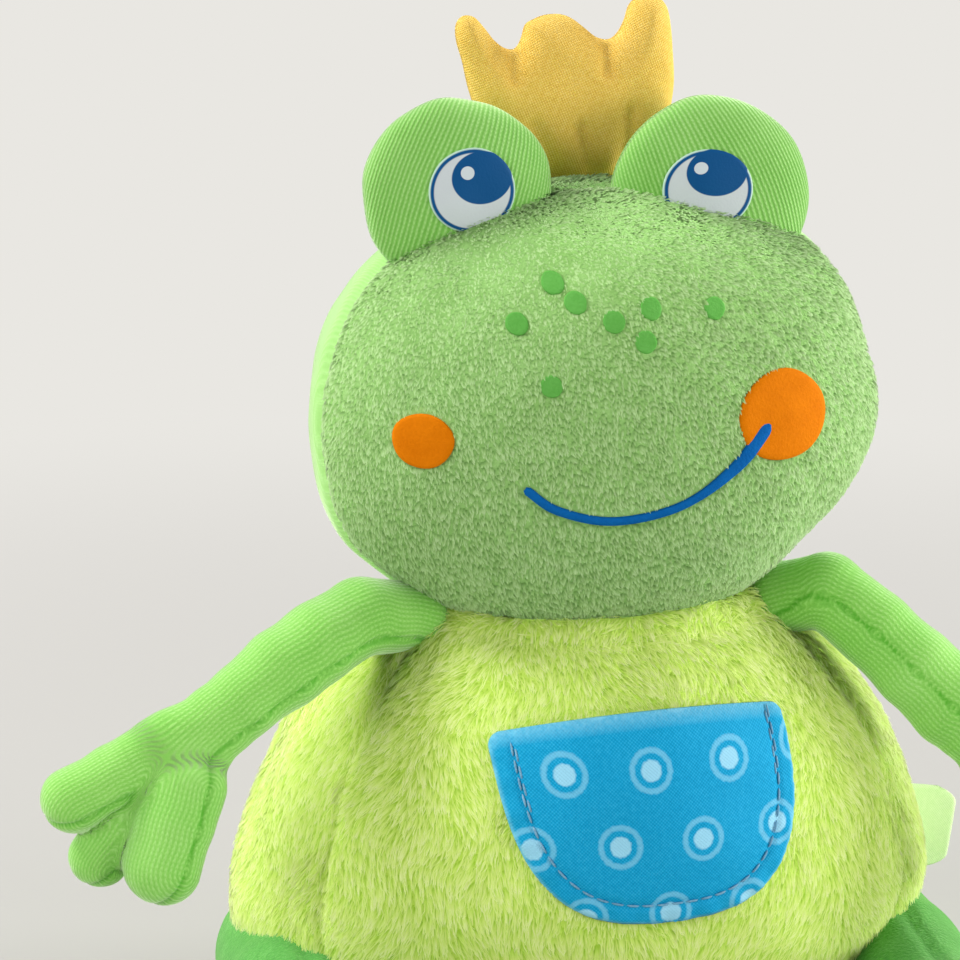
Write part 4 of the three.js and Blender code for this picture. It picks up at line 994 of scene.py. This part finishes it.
# Outline of the crown, in shares of its half-width and height, from one side of its base round to the other
CROWN_OUTLINE = (
    (-0.24, -0.13), (-0.48, -0.05), (-0.74, 0.12), (-0.91, 0.32), (-0.965, 0.52), (-0.985, 0.7), (-1.01, 0.84),
    (-0.985, 0.935), (-0.91, 0.98), (-0.81, 0.96), (-0.735, 0.89), (-0.66, 0.805), (-0.57, 0.745), (-0.48, 0.735),
    (-0.405, 0.79), (-0.345, 0.865), (-0.25, 0.89), (-0.13, 0.9), (0.0, 0.885), (0.1, 0.845), (0.19, 0.785),
    (0.29, 0.715), (0.4, 0.69), (0.5, 0.72), (0.575, 0.79), (0.64, 0.865), (0.73, 0.91), (0.86, 0.91), (0.96, 0.86),
    (1.0, 0.77), (0.985, 0.6), (0.96, 0.42), (0.87, 0.2), (0.67, 0.04), (0.44, -0.06), (0.24, -0.13))
# Creases of the crown: from and to, in shares, then depth and half-width in mm
CROWN_CREASES = (
    ((0.36, 0.7), (0.3, 0.52), 1.9, 1.8), ((-0.5, 0.74), (-0.56, 0.58), 1.5, 2.0),
    ((-0.3, -0.1), (-0.46, 0.24), 1.3, 2.4), ((0.02, -0.1), (-0.03, 0.2), 1.1, 2.0),
    ((0.32, -0.1), (0.46, 0.24), 1.4, 2.4), ((-0.62, 0.86), (-0.7, 0.72), 0.8, 1.6))


def on_line(points, start, end):
    """Distance of flat points from a short straight line."""
    start, end = np.asarray(start), np.asarray(end)
    run = end - start
    t = np.clip(((points - start) @ run) / (run @ run), 0, 1)
    return np.linalg.norm(points - start - t[..., None] * run, axis=-1)


crown_scale = np.array([CROWN_HALF_WIDTH, CROWN_HEIGHT])
outline = spline(np.vstack([CROWN_OUTLINE, [(0.0, -0.15)], CROWN_OUTLINE[:1]]) * crown_scale, 421)[:-1]


def inside_outline(points):
    """True for flat points inside the outline: a line across from such a point meets it an odd number of times."""
    a, b = outline, np.roll(outline, -1, axis=0)
    spans = (a[None, :, 1] > points[:, None, 1]) != (b[None, :, 1] > points[:, None, 1])
    slope = (b[:, 0] - a[:, 0]) / np.where(a[:, 1] == b[:, 1], 1e-9, b[:, 1] - a[:, 1])
    meets = a[None, :, 0] + (points[:, None, 1] - a[None, :, 1]) * slope[None]
    return np.sum(spans & (points[:, None, 0] < meets), axis=1) % 2 == 1


def outline_reach(points):
    """How far flat points lie from the outline."""
    return np.min(np.linalg.norm(points[:, None] - outline[None], axis=-1), axis=1)


# Places on the flat shape: rings that follow the outline, which keep its rounded edge even, and a plain grid inside
GRID_STEP = 0.75
tangent = unit(np.roll(outline, -1, axis=0) - np.roll(outline, 1, axis=0))
inward = np.stack([tangent[:, 1], -tangent[:, 0]], 1)
fill = [outline]
for depth in (0.12, 0.4, 0.8, 1.3, 1.9):
    ring = outline + inward * depth
    fill.append(ring[inside_outline(ring) & (outline_reach(ring) > 0.92 * depth)])
spots = np.stack(np.meshgrid(np.arange(-28, 28.5, GRID_STEP), np.arange(-7, 41.5, GRID_STEP)), -1).reshape(-1, 2)
spots = spots[inside_outline(spots)]
fill.append(spots[outline_reach(spots) > 2.3])
fill = np.vstack(fill)
flat_places, _, crown_faces, *_ = delaunay_2d_cdt([Vector(p) for p in fill], [], [list(range(len(outline)))], 1, 1e-5)
flat_places, crown_faces = np.array([tuple(p) for p in flat_places]), np.array(crown_faces)
edge_reach = outline_reach(flat_places)
# Its stuffed form: a quarter circle in from the outline to its full thickness, then level, less the creases
bulge = CROWN_HALF_THICKNESS * np.sqrt(np.clip(1 - (1 - np.clip(edge_reach / CROWN_EDGE, 0, 1)) ** 2, 0, 1))
for start, end, depth, spread in CROWN_CREASES:
    crease = np.exp(-(on_line(flat_places, start * crown_scale, end * crown_scale) / spread) ** 2)
    bulge = bulge - depth * crease * ease(0, 2.5, edge_reach)
lumps = noise(np.concatenate([flat_places, 0 * flat_places[:, :1]], 1), 7, 17)
bulge = bulge + 0.4 * lumps * ease(0, 5, edge_reach)
bulge = np.where(edge_reach < 0.01, 0, np.maximum(bulge, 0.02))


def crown_world(q):
    """From the crown's own frame, with its base at the middle, to its place on top of the head."""
    c, s = math.cos(CROWN_LEAN), math.sin(CROWN_LEAN)
    across, behind = CROWN_PLACE
    top = HEAD_HALF[2] * math.sqrt(1 - (across / HEAD_HALF[0]) ** 2 - (behind / HEAD_HALF[1]) ** 2) + CROWN_RISE
    return head_world(np.stack([q[..., 0] * c - q[..., 2] * s + across, q[..., 1] + behind,
                                q[..., 0] * s + q[..., 2] * c + top], -1))


ripple = 0.3 * np.sin(flat_places @ np.array([0.9, 0.5])) * np.exp(-edge_reach / 2)
halves = [np.stack([flat_places[:, 0], facing * bulge + ripple, flat_places[:, 1]], -1) for facing in (-1, 1)]
faces = np.vstack([crown_faces, crown_faces[:, ::-1] + len(flat_places)])
# Near its edges the cloth turns away to the back, so there is more of it than the flat shape shows
nearest = outline[np.argmin(np.linalg.norm(flat_places[:, None] - outline[None], axis=-1), axis=1)]
turned_share = np.clip(1 - edge_reach / CROWN_EDGE, 0, 1)
spare = 0.5 * (math.hypot(CROWN_EDGE, CROWN_HALF_THICKNESS) * 1.1 - CROWN_EDGE + 1.0) * turned_share ** 4
cut = flat_places + unit(nearest - flat_places) * spare[:, None]
crown = make("crown_cloth", crown_world(np.vstack(halves)), faces, crown_cotton,
             np.tile(cut @ np.array([[1, 0.6], [-0.6, 1]]) / 1.17, (2, 1)))
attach(crown, "crown")
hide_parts("crown_front_panel", "crown_back_panel")


# ---- Arms and legs ----

SHOULDER = np.array([-46.0, -20.0, 110.0])
# Each arm's middle line, from inside the body to the palm: places from the shoulder seam, with half-width and
# half-thickness. The right arm is written as a left one, and mirrored later
ARM_PATHS = {
    "left": ((9.0, 9.0, -7.0, 7.0, 7.0), (0.0, 0.0, 2.6, 8.4, 8.4), (-14.8, -8.1, 4.3, 9.2, 9.2),
             (-26.1, -15.0, -0.1, 9.9, 9.9), (-34.6, -18.4, -5.0, 10.0, 9.8), (-44.6, -21.3, -11.7, 8.8, 8.8),
             (-51.4, -22.8, -16.3, 8.8, 8.0), (-61.1, -25.4, -23.7, 12.2, 8.0)),
    "right": ((9.0, 9.0, -7.0, 7.0, 7.0), (0.0, 0.6, 3.2, 8.8, 8.8), (-10.1, -6.7, 6.0, 9.0, 9.0),
              (-21.5, -12.8, -3.7, 9.7, 9.7), (-29.9, -17.0, -12.2, 10.3, 10.0), (-38.5, -20.2, -20.7, 10.7, 9.6),
              (-44.0, -22.1, -25.3, 10.4, 8.6), (-51.9, -24.3, -32.2, 12.2, 8.0)),
}
# The left hand's fingers: root and tip from the shoulder seam, and half-width
FINGERS = (((-67.7, -25.6, -23.3), (-85.9, -26.8, -32.5), 8.0), ((-68.9, -24.7, -31.5), (-79.9, -23.9, -47.4), 7.4),
           ((-59.2, -28.9, -29.7), (-65.8, -33.0, -48.0), 9.4))
# How much further down the right hand points
RIGHT_HAND_DROOP = math.radians(9)
# The ribs keep their pitch where a limb has this radius, and spread or close up with it elsewhere
RIB_RADIUS = 9.2
# How far each arm's seams are turned from its edges: the lower one comes round to the front
ARM_SEAM_TURNS = {"left": math.radians(-62), "right": math.radians(-84)}


def arm_chains(side):
    """The middle lines of an arm and its fingers, as rows of place, half-width and half-thickness."""
    rows = [(SHOULDER + np.array(row[:3]), row[3], row[4]) for row in ARM_PATHS[side]]
    left_palm = np.array(ARM_PATHS["left"][-1][:3])
    droop = RIGHT_HAND_DROOP if side == "right" else 0.0
    chains = [rows]
    for root, tip, radius in FINGERS:
        ends = turned(np.array([root, tip]) - left_palm, np.zeros(3), (0, 1, 0), -droop) + rows[-1][0]
        chains.append([(ends[0], radius, 0.86 * radius), (ends.mean(0), 0.97 * radius, 0.95 * radius),
                       (ends[1], radius, 0.95 * radius)])
    return chains


HIP = np.array([73.0, 8.0, 19.5])
LEG_LENGTH, THIGH_RADIUS, FOOT_HALF_WIDTH, TOE_LENGTH, TOE_RADIUS = 112, 20, 20, 22, 8.5
TOE_BEARINGS = (-32, 0, 32)
# Along the leg: how far along, in shares of its length, how far outwards, in shares of its radius, then half-width
# in mm and half-thickness in shares of the radius
LEG_ROWS = ((0, 0, 19.6, 0.98), (0.29, 0.12, 18.6, 0.92), (0.6, 0.2, 16.4, 0.76),
            (0.85, 0.25, FOOT_HALF_WIDTH, 0.62), (1, 0.27, 16, 0.55))


def leg_chains():
    """The middle lines of the right leg and its toes."""
    rows = []
    for run, out, wide, thick in LEG_ROWS:
        place = np.array([HIP[0] + out * THIGH_RADIUS, HIP[1] - run * LEG_LENGTH, thick * THIGH_RADIUS - 0.5])
        rows.append((place, wide, thick * THIGH_RADIUS))
    instep = rows[3][0].copy()
    instep[2] = TOE_RADIUS - 0.5
    chains = [rows]
    for bearing in TOE_BEARINGS:
        turn, length = math.radians(-bearing), FOOT_HALF_WIDTH / 2 + TOE_LENGTH
        tip = instep - np.array([length * math.sin(turn), length * math.cos(turn), 0])
        chains.append([(instep, TOE_RADIUS, TOE_RADIUS), (tip, TOE_RADIUS, TOE_RADIUS)])
    return chains


def limb_field(points, chains, flat_way, blend):
    """How far points lie outside a limb of tapered tubes that flow into one another, and for each tube the
    offset from its middle line, the length so far and the radius."""
    total, parts = None, []
    for number, rows in enumerate(chains):
        run, chain_away = 0.0, None
        for (a, wa, ta), (b, wb, tb) in zip(rows[:-1], rows[1:]):
            axis = b - a
            length = np.linalg.norm(axis)
            way = axis / length
            side = unit(np.cross(way, flat_way))
            normal = np.cross(side, way)
            t = np.clip((points - a) @ way / length, 0, 1)
            off = points - a - t[:, None] * axis
            eased = t * t * (3 - 2 * t)
            wide, thick = wa + (wb - wa) * eased, ta + (tb - ta) * eased
            reach = np.sqrt((off @ side / wide) ** 2 + (off @ normal / thick) ** 2
                            + (off @ way / np.minimum(wide, thick)) ** 2)
            away = (reach - 1) * np.sqrt(wide * thick)
            parts.append((away, off @ side, off @ normal, off @ way, run + t * length))
            run += length
            chain_away = away if chain_away is None else joined(chain_away, away, 1.2)
        total = chain_away if total is None else joined(total, chain_away, blend)
    return total, parts


def joined(a, b, blend):
    """The smaller of two distances, with the crease between them rounded."""
    h = np.clip(0.5 + 0.5 * (a - b) / blend, 0, 1)
    return a + (b - a) * h - blend * h * (1 - h)


def limb_mesh(chains, flat_way, blend, voxel):
    """Balls along the limb's middle lines, made into one skin of even squares and drawn on to its surface."""
    balls = bmesh.new()
    for rows in chains:
        for (a, _, ta), (b, _, tb) in zip(rows[:-1], rows[1:]):
            for t in np.linspace(0, 1, 7):
                place = Matrix.Translation(Vector((a + (b - a) * t) * METRE))
                radius = 0.97 * (ta + (tb - ta) * t) * METRE
                bmesh.ops.create_icosphere(balls, subdivisions=2, radius=radius, matrix=place)
    rough = bpy.data.meshes.new("rough")
    balls.to_mesh(rough)
    balls.free()
    rough_object = bpy.data.objects.new("rough", rough)
    bpy.context.scene.collection.objects.link(rough_object)
    remesh = rough_object.modifiers.new("skin", "REMESH")
    remesh.mode, remesh.voxel_size = "VOXEL", voxel * METRE
    skin = bpy.data.meshes.new_from_object(rough_object.evaluated_get(bpy.context.evaluated_depsgraph_get()))
    bpy.data.objects.remove(rough_object)
    points = np.zeros(len(skin.vertices) * 3)
    skin.vertices.foreach_get("co", points)
    points = points.reshape(-1, 3) / METRE
    faces = np.zeros(len(skin.loops), np.int32)
    skin.loops.foreach_get("vertex_index", faces)
    faces = faces.reshape(-1, 4)
    bpy.data.meshes.remove(skin)
    for _ in range(5):
        away, _parts = limb_field(points, chains, flat_way, blend)
        slope = np.stack([(limb_field(points + step, chains, flat_way, blend)[0] - away) / 0.05
                          for step in 0.05 * np.eye(3)], 1)
        points = points - slope * (away / np.maximum(np.sum(slope ** 2, 1), 0.2))[:, None]
    return points, faces, unit(slope)


def limb_cover(chains, flat_way, blend, voxel, seam_turn, seam_depth, seam_spread, seed):
    """A limb's sewn cover: creased along its seams and slightly lumpy. Its cloth coordinates are the way round
    it from the seams and the way along it, so its ribs run beside the seams and round its ends. Where tubes
    meet, each counts by how near its surface is."""
    points, faces, normals = limb_mesh(chains, flat_way, blend, voxel)
    _, parts = limb_field(points, chains, flat_way, blend)
    away = np.stack([part[0] for part in parts])
    weights = np.exp(-(away - away.min(0)) / 0.9)
    weights /= weights.sum(0)
    across = along = seam = 0
    for weight, (_, side, normal, beyond, run) in zip(weights, parts):
        from_seam = normal * math.cos(seam_turn) - side * math.sin(seam_turn)
        beside = side * math.cos(seam_turn) + normal * math.sin(seam_turn)
        reach = np.sqrt(side ** 2 + normal ** 2 + beyond ** 2)
        across = across + weight * RIB_RADIUS * np.arcsin(np.clip(beside / reach, -1, 1))
        seam = seam + weight * reach * np.arctan2(from_seam, np.hypot(beside, beyond))
        along = along + weight * (run + beyond)
    crease = np.exp(-(seam / seam_spread) ** 2)
    lumps = 0.4 * noise(points, 13, seed) + 0.12 * noise(points, 5, seed + 1)
    points = points + normals * (lumps - seam_depth * crease)[:, None]
    # The crease also goes into tone, from which the knit material paints shade down in the seams
    tone = np.stack([crease, 0 * crease, 0 * crease], 1)
    return points, faces, np.stack([across, along], 1), tone


def mirror(points):
    """From the viewer's left to the viewer's right, or back."""
    return points * np.array([-1, 1, 1])


def turned(points, pivot, axis, angle):
    """Points turned about a line through a pivot."""
    matrix = np.array(Matrix.Rotation(angle, 3, Vector(axis)))
    return (points - pivot) @ matrix.T + pivot


forward = np.array([0, -1.0, 0])
for side in ("left", "right"):
    points, faces, cloth, tone = limb_cover(arm_chains(side), forward, 2.4, 0.9, ARM_SEAM_TURNS[side], 0.7, 0.7, 51)
    if side == "right":
        points, faces = mirror(points), faces[:, ::-1]
    cover = make(f"arm_cover_{side}", points, faces, arm_jersey, cloth, tone)
    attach(cover, f"arm_{side}")
    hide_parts(f"arm_front_panel_{side}", f"arm_back_panel_{side}", f"arm_stuffing_{side}")

leg = limb_cover(leg_chains(), np.array([0, 0, 1.0]), 4.0, 1.8, math.radians(90), 1.2, 1.6, 57)
for side in ("right", "left"):
    points, faces, cloth, tone = leg
    points = points.copy()
    points[:, 2] = np.maximum(points[:, 2], 0.2)
    if side == "left":
        points, faces = mirror(points), faces[:, ::-1]
    cover = make(f"leg_cover_{side}", points, faces, leg_velour, cloth, tone)
    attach(cover, f"leg_{side}")
    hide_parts(f"leg_outer_panel_{side}", f"leg_inner_panel_{side}")


# ---- Pocket, stitches and label ----

POCKET_THICKNESS, POCKET_STAND_OFF, STITCH_INSET = 1.0, 0.9, 4.6


def pocket_cut(x, y):
    """The pocket's real cut from its plain half oval: its top edge rises in the middle and falls away at its
    corners, and it leans a little to one side."""
    upper = np.clip(1 + y / POCKET_DEPTH, 0, 1)
    crest = POCKET_RISE * np.clip(1 - (x / POCKET_HALF_WIDTH) ** 2, 0, 1) * upper ** 1.5
    beyond = np.clip((np.abs(x) - POCKET_HALF_WIDTH + POCKET_CORNER) / POCKET_CORNER, 0, 1)
    fall = POCKET_CORNER * (1 - np.sqrt(1 - beyond ** 2)) * upper ** 8
    return x - POCKET_SHEAR * y, y + crest - fall


def on_belly(x, y, lift):
    """The place over the belly of a point of the pocket's flat cloth, which gapes at the middle of its mouth."""
    tilt = math.radians(POCKET_TILT)
    depth = np.clip(-y / POCKET_DEPTH, 0, 1)
    wide = POCKET_HALF_WIDTH * (1 - depth ** POCKET_FULLNESS) ** (1 / POCKET_FULLNESS)
    share = np.clip(np.abs(x) / np.maximum(wide, 1e-3), 0, 1)
    gape = POCKET_GAPE * (1 - share ** 2) * (1 - depth)
    x, y = pocket_cut(x, y)
    across = POCKET_ASIDE + x * math.cos(tilt) - y * math.sin(tilt)
    up = POCKET_TOP + x * math.sin(tilt) + y * math.cos(tilt)
    above = np.clip((up - GIRTH) / DOME, 0, 1)
    below = np.clip((GIRTH - up) / (GIRTH + SEAT_SINK), 0, 1)
    reach = (1 - above ** DOME_FULLNESS) ** (1 / DOME_FULLNESS) * np.sqrt(1 - below ** 2)
    belly_reach = HALF_DEPTH * np.sqrt(np.maximum(reach ** 2 - (across / HALF_WIDTH) ** 2, 0))
    return np.stack([across, -belly_reach - POCKET_STAND_OFF - gape - lift, up], -1)


def pocket_edge(angle, inset=0.0):
    """The pocket's curved outline: half an oval, fuller than an ellipse. angle runs 0 to pi, right to left."""
    cosine, sine = np.cos(angle), np.maximum(np.sin(angle), 0)
    power = 2 / POCKET_FULLNESS
    return np.stack([(POCKET_HALF_WIDTH - inset) * np.sign(cosine) * np.abs(cosine) ** power,
                     -(POCKET_DEPTH - inset) * sine ** power], -1)


# A grid of the pocket's flat cloth, row by row from its mouth down, and each place's reach from what shapes it there
rows, columns = 70, 90
shares = np.sin(np.linspace(-1, 1, columns) * math.pi / 2)
angle = np.linspace(0, 1, rows) * math.pi / 2 * 0.995
power = 2 / POCKET_FULLNESS
wide = POCKET_HALF_WIDTH * np.cos(angle) ** power
deep = POCKET_DEPTH * np.sin(angle) ** power
x, y = shares[None, :] * wide[:, None], -np.broadcast_to(deep[:, None], (rows, columns))
flat_places = np.stack([x, y], -1)[:, :, None]
pocket_outline = pocket_edge(np.linspace(0, math.pi, 240))
from_edge = np.min(np.linalg.norm(flat_places - pocket_outline[None, None], axis=-1), axis=2)
from_top = -y
stitch_line = pocket_edge(np.linspace(0, math.pi, 400), STITCH_INSET)
gap = np.linalg.norm(flat_places - stitch_line[None, None], axis=-1)
from_stitch, stitch_run = gap.min(axis=2), line_run(stitch_line)[gap.argmin(axis=2)]
place = np.stack([x, y, 0 * x], -1)
# Its outer face: rounded at its folded edge, puckered beside it, drawn down along the stitches, slack between them
PUCKER_PITCH = 6.5
round_edge = np.sqrt(np.clip(1 - (1 - np.clip(np.minimum(from_edge, from_top + 0.4) / 1.4, 0, 1)) ** 2, 0, 1))
pucker = np.cos(stitch_run * TAU / PUCKER_PITCH + 1.5 * noise(place, 9, 72))
lift = (POCKET_THICKNESS + 0.5) * round_edge
lift = lift + 0.35 * pucker * np.exp(-(from_edge / 3.2) ** 2) * round_edge
lift = lift - 0.55 * np.exp(-(from_stitch / 0.9) ** 2)
lift = lift + 0.5 * noise(place, 13, 71) * ease(3, 9, from_edge)
points = np.stack([on_belly(x, y, lift), on_belly(x, y, np.minimum(0.05, lift - 0.4))])
# Two faces and the edge that joins them
behind = rows * columns
index = np.arange(behind).reshape(rows, columns)
rim_loop = np.concatenate([index[0], index[1:, -1], index[-1, -2::-1], index[-2:0:-1, 0]])
following = np.roll(rim_loop, -1)
edge_faces = np.stack([following + behind, rim_loop + behind, rim_loop, following], -1)
faces = np.vstack([grid_faces(rows, columns)[:, ::-1], grid_faces(rows, columns, offset=behind), edge_faces])
cut = np.stack(pocket_cut(x, y), -1)
# Along its folds the print is rubbed
rub = np.exp(-(np.minimum(from_edge, from_top) / 0.55) ** 2)
rub = np.stack([rub, 0 * rub, 0 * rub], -1)
pocket = make("pocket_cloth", points, faces, pocket_cotton, np.stack([cut, cut]), np.stack([rub, rub]))
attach(pocket, "body")
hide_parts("pocket")

STITCH_LENGTH, STITCH_PITCH, STITCH_RADIUS = 3.0, 3.6, 0.27
run = line_run(stitch_line)
starts = np.arange(0.2, run[-1] - STITCH_LENGTH, STITCH_PITCH)
# At both ends of the seam the thread goes back beside itself for four stitches
doubled = np.concatenate([starts[:4] + 1.3, starts[-4:] - 1.3])
beside_line = np.concatenate([np.zeros(len(starts)), np.full(len(doubled), 0.75)])
starts = np.concatenate([starts, doubled])
# Each stitch is a round thread that comes up out of the cloth, runs over it and goes down again
steps, around = 7, 6
t = np.linspace(0, 1, steps)
at = starts[:, None] + STITCH_LENGTH * t
x, y = np.interp(at, run, stitch_line[:, 0]), np.interp(at, run, stitch_line[:, 1])
x = x - np.sign(x) * beside_line[:, None]
hump = np.sqrt(np.clip(1 - (2 * t - 1) ** 4, 0, 1))
middle = on_belly(x, y, POCKET_THICKNESS + 0.02 + 0.35 * hump)
way = unit(np.gradient(middle, axis=1))
facing_out = unit(np.array([0.0, -1, 0.15]) + 0 * way)
beside = unit(np.cross(way, facing_out))
turn = np.linspace(0, TAU, around, endpoint=False)
spokes = beside[:, :, None] * np.cos(turn)[:, None] + np.cross(beside, way)[:, :, None] * np.sin(turn)[:, None]
thick = STITCH_RADIUS * np.maximum(hump, 0.05)
points = middle[:, :, None] + spokes * thick[None, :, None, None]
first = np.arange(len(starts)) * steps * around
faces = (grid_faces(steps, around, True)[None] + first[:, None, None]).reshape(-1, 4)
stitches = make("pocket_stitches", points, faces, sewing_thread)
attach(stitches, "body")
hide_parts("pocket_stitching")

LABEL_LENGTH, LABEL_WIDTH, LABEL_HEIGHT, LABEL_SLANT = 20.0, 21.5, 46.0, math.radians(9)
FOLD_SHARE, CORNER_ROUNDING, LABEL_THICKNESS = 0.03, 5.5, 0.2
# Its place in the side seam, which way it sticks out from there, and which way is off its face
seam_bearing = math.radians(BACK_SEAM)
label_run = np.array([math.sin(seam_bearing), -math.cos(seam_bearing), 0])
label_side = np.array([-label_run[1], label_run[0], 0])
fall = math.sqrt(1 - ((LABEL_HEIGHT - GIRTH) / (GIRTH + SEAT_SINK)) ** 2)
label_seat = label_run * np.array([HALF_WIDTH, HALF_DEPTH, 0]) * fall + np.array([0, 0, LABEL_HEIGHT])
# t runs along the tape from one end to the other, with the fold at 0, and w across it
rows, columns = 61, 25
t, w = np.linspace(-1, 1, rows), np.linspace(-0.5, 0.5, columns)
reach = LABEL_LENGTH * (1 - np.maximum(np.abs(t) - FOLD_SHARE, 0) / (1 - FOLD_SHARE))
aside = np.sign(t) * (0.18 + 0.5 * np.sin(np.clip(np.abs(t), 0, 1) * math.pi)) * ease(0, 0.05, np.abs(t))
corner = CORNER_ROUNDING * np.clip((np.abs(w) - 0.3) / 0.2, 0, 1) ** 2.5
reach = np.minimum(reach[:, None], LABEL_LENGTH - corner[None, :])
bow = 0.9 * np.sin(reach / LABEL_LENGTH * 2.4) + 0.5 * (w * 2)[None, :] ** 2
height = w[None, :] * LABEL_WIDTH + 0 * reach
c, s = math.cos(LABEL_SLANT), math.sin(LABEL_SLANT)
points = (label_seat + (reach * c + height * s)[..., None] * label_run
          + (height * c - reach * s)[..., None] * np.array([0, 0, 1.0])
          + (aside[:, None] + bow)[..., None] * label_side)
cloth = np.stack([np.broadcast_to((t * LABEL_LENGTH)[:, None], (rows, columns)), height], -1)
label = make("side_label_tape", points, grid_faces(rows, columns), label_satin, cloth)
thicken = label.modifiers.new("thickness", "SOLIDIFY")
thicken.thickness, thicken.offset = LABEL_THICKNESS * METRE, 0
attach(label, "label")
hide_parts("side_label")


# ---- Stage, camera and light ----

BACKGROUND = "#e9e7e2"
# Half the floor's side in mm, and where it begins and ends to turn into the background, in metres
FLOOR_SIDE, FLOOR_NEAR, FLOOR_FAR = 4000, 0.3, 1.0


def seen_directly(tree):
    """1 for a ray that comes from the camera, from a shine or through something clear, otherwise 0."""
    path = add(tree, "ShaderNodeLightPath")
    seen = sums(tree, "MAXIMUM", path.outputs["Is Camera Ray"], path.outputs["Is Glossy Ray"])
    return sums(tree, "MAXIMUM", seen, path.outputs["Is Transmission Ray"])


# Matt pale card, which keeps the frog's shadow close by and turns to the plain background further out
floor_paint, tree, shader = cloth_material("pale_floor", 0.9)
shader.inputs["Base Color"].default_value = hex_colour("#adaba7")
place = add(tree, "ShaderNodeTexCoord").outputs["Object"]
from_middle = add(tree, "ShaderNodeVectorMath", {0: place}, operation="LENGTH").outputs["Value"]
far_out = add(tree, "ShaderNodeMapRange", {0: from_middle, 1: FLOOR_NEAR, 2: FLOOR_FAR},
              interpolation_type="SMOOTHSTEP").outputs[0]
share = sums(tree, "MULTIPLY", far_out, seen_directly(tree))
plain = add(tree, "ShaderNodeEmission", {"Color": hex_colour(BACKGROUND), "Strength": 1.0})
both = add(tree, "ShaderNodeMixShader", {0: share, 1: shader.outputs[0], 2: plain.outputs[0]})
tree.links.new(both.outputs[0], tree.nodes["Material Output"].inputs["Surface"])
corners = np.array([[-1, -1, 0], [1, -1, 0], [1, 1, 0], [-1, 1, 0]]) * FLOOR_SIDE
floor = make("floor", corners, np.array([[0, 1, 2, 3]]), floor_paint, smooth=False)

# The camera points at the middle of the photograph, which lies aside from the frog's middle and above its seat
right = np.array([math.cos(VIEW_BEARING), -math.sin(VIEW_BEARING), 0])
away = np.array([-math.sin(VIEW_BEARING) * math.cos(VIEW_RISE), -math.cos(VIEW_BEARING) * math.cos(VIEW_RISE),
                 math.sin(VIEW_RISE)])
target = right * PICTURE_ASIDE + np.array([0, 0, PICTURE_HEIGHT / math.cos(VIEW_RISE)])
lens = bpy.data.cameras.new("camera")
lens.lens, lens.sensor_width = VIEW_LENS, SENSOR_WIDTH
lens.clip_end = 20
camera = bpy.data.objects.new("camera", lens)
bpy.context.scene.collection.objects.link(camera)
camera.location = (target + away * VIEW_DISTANCE) * METRE
camera.rotation_euler = (math.pi / 2 - VIEW_RISE, 0, -VIEW_BEARING)
bpy.context.scene.camera = camera


MIDDLE_HEIGHT = 0.13


def lamp(name, bearing, rise, distance, size, level):
    """A soft square lamp that points at the frog's middle. level is how bright a white card that faces it there
    looks, which for a lamp at a distance r takes a power of (pi r) ** 2."""
    data = bpy.data.lights.new(name, "AREA")
    data.size, data.energy = size, level * (math.pi * distance) ** 2
    obj = bpy.data.objects.new(name, data)
    bpy.context.scene.collection.objects.link(obj)
    turn, lift = math.radians(bearing), math.radians(rise)
    away = Vector((math.sin(turn) * math.cos(lift), -math.cos(turn) * math.cos(lift), math.sin(lift)))
    obj.location = away * distance + Vector((0, 0, MIDDLE_HEIGHT))
    obj.rotation_euler = away.to_track_quat("Z", "Y").to_euler()


# Those at the sides shine from behind the arms and from before them, so that no arm's shadow falls on the front
lamp("key_lamp", -112, 48, 1.9, 0.8, 0.9)
lamp("left_lamp", -64, 14, 1.8, 0.8, 0.45)
lamp("right_lamp", 92, 14, 1.8, 1.0, 1.0)
lamp("right_front_lamp", 50, 6, 1.8, 0.8, 0.5)
lamp("back_lamp", 172, 60, 1.9, 0.8, 0.25)
world = bpy.data.worlds.new("studio")
bpy.context.scene.world = world
world.use_nodes = True
tree = world.node_tree
soft = tree.nodes["Background"]
soft.inputs["Color"].default_value = (1, 1, 1, 1)
soft.inputs["Strength"].default_value = 0.4
plain = add(tree, "ShaderNodeBackground", {"Color": hex_colour(BACKGROUND), "Strength": 1.0})
both = add(tree, "ShaderNodeMixShader", {0: seen_directly(tree), 1: soft.outputs[0], 2: plain.outputs[0]})
tree.links.new(both.outputs[0], tree.nodes["World Output"].inputs["Surface"])
bpy.context.scene.view_settings.view_transform = "Standard"
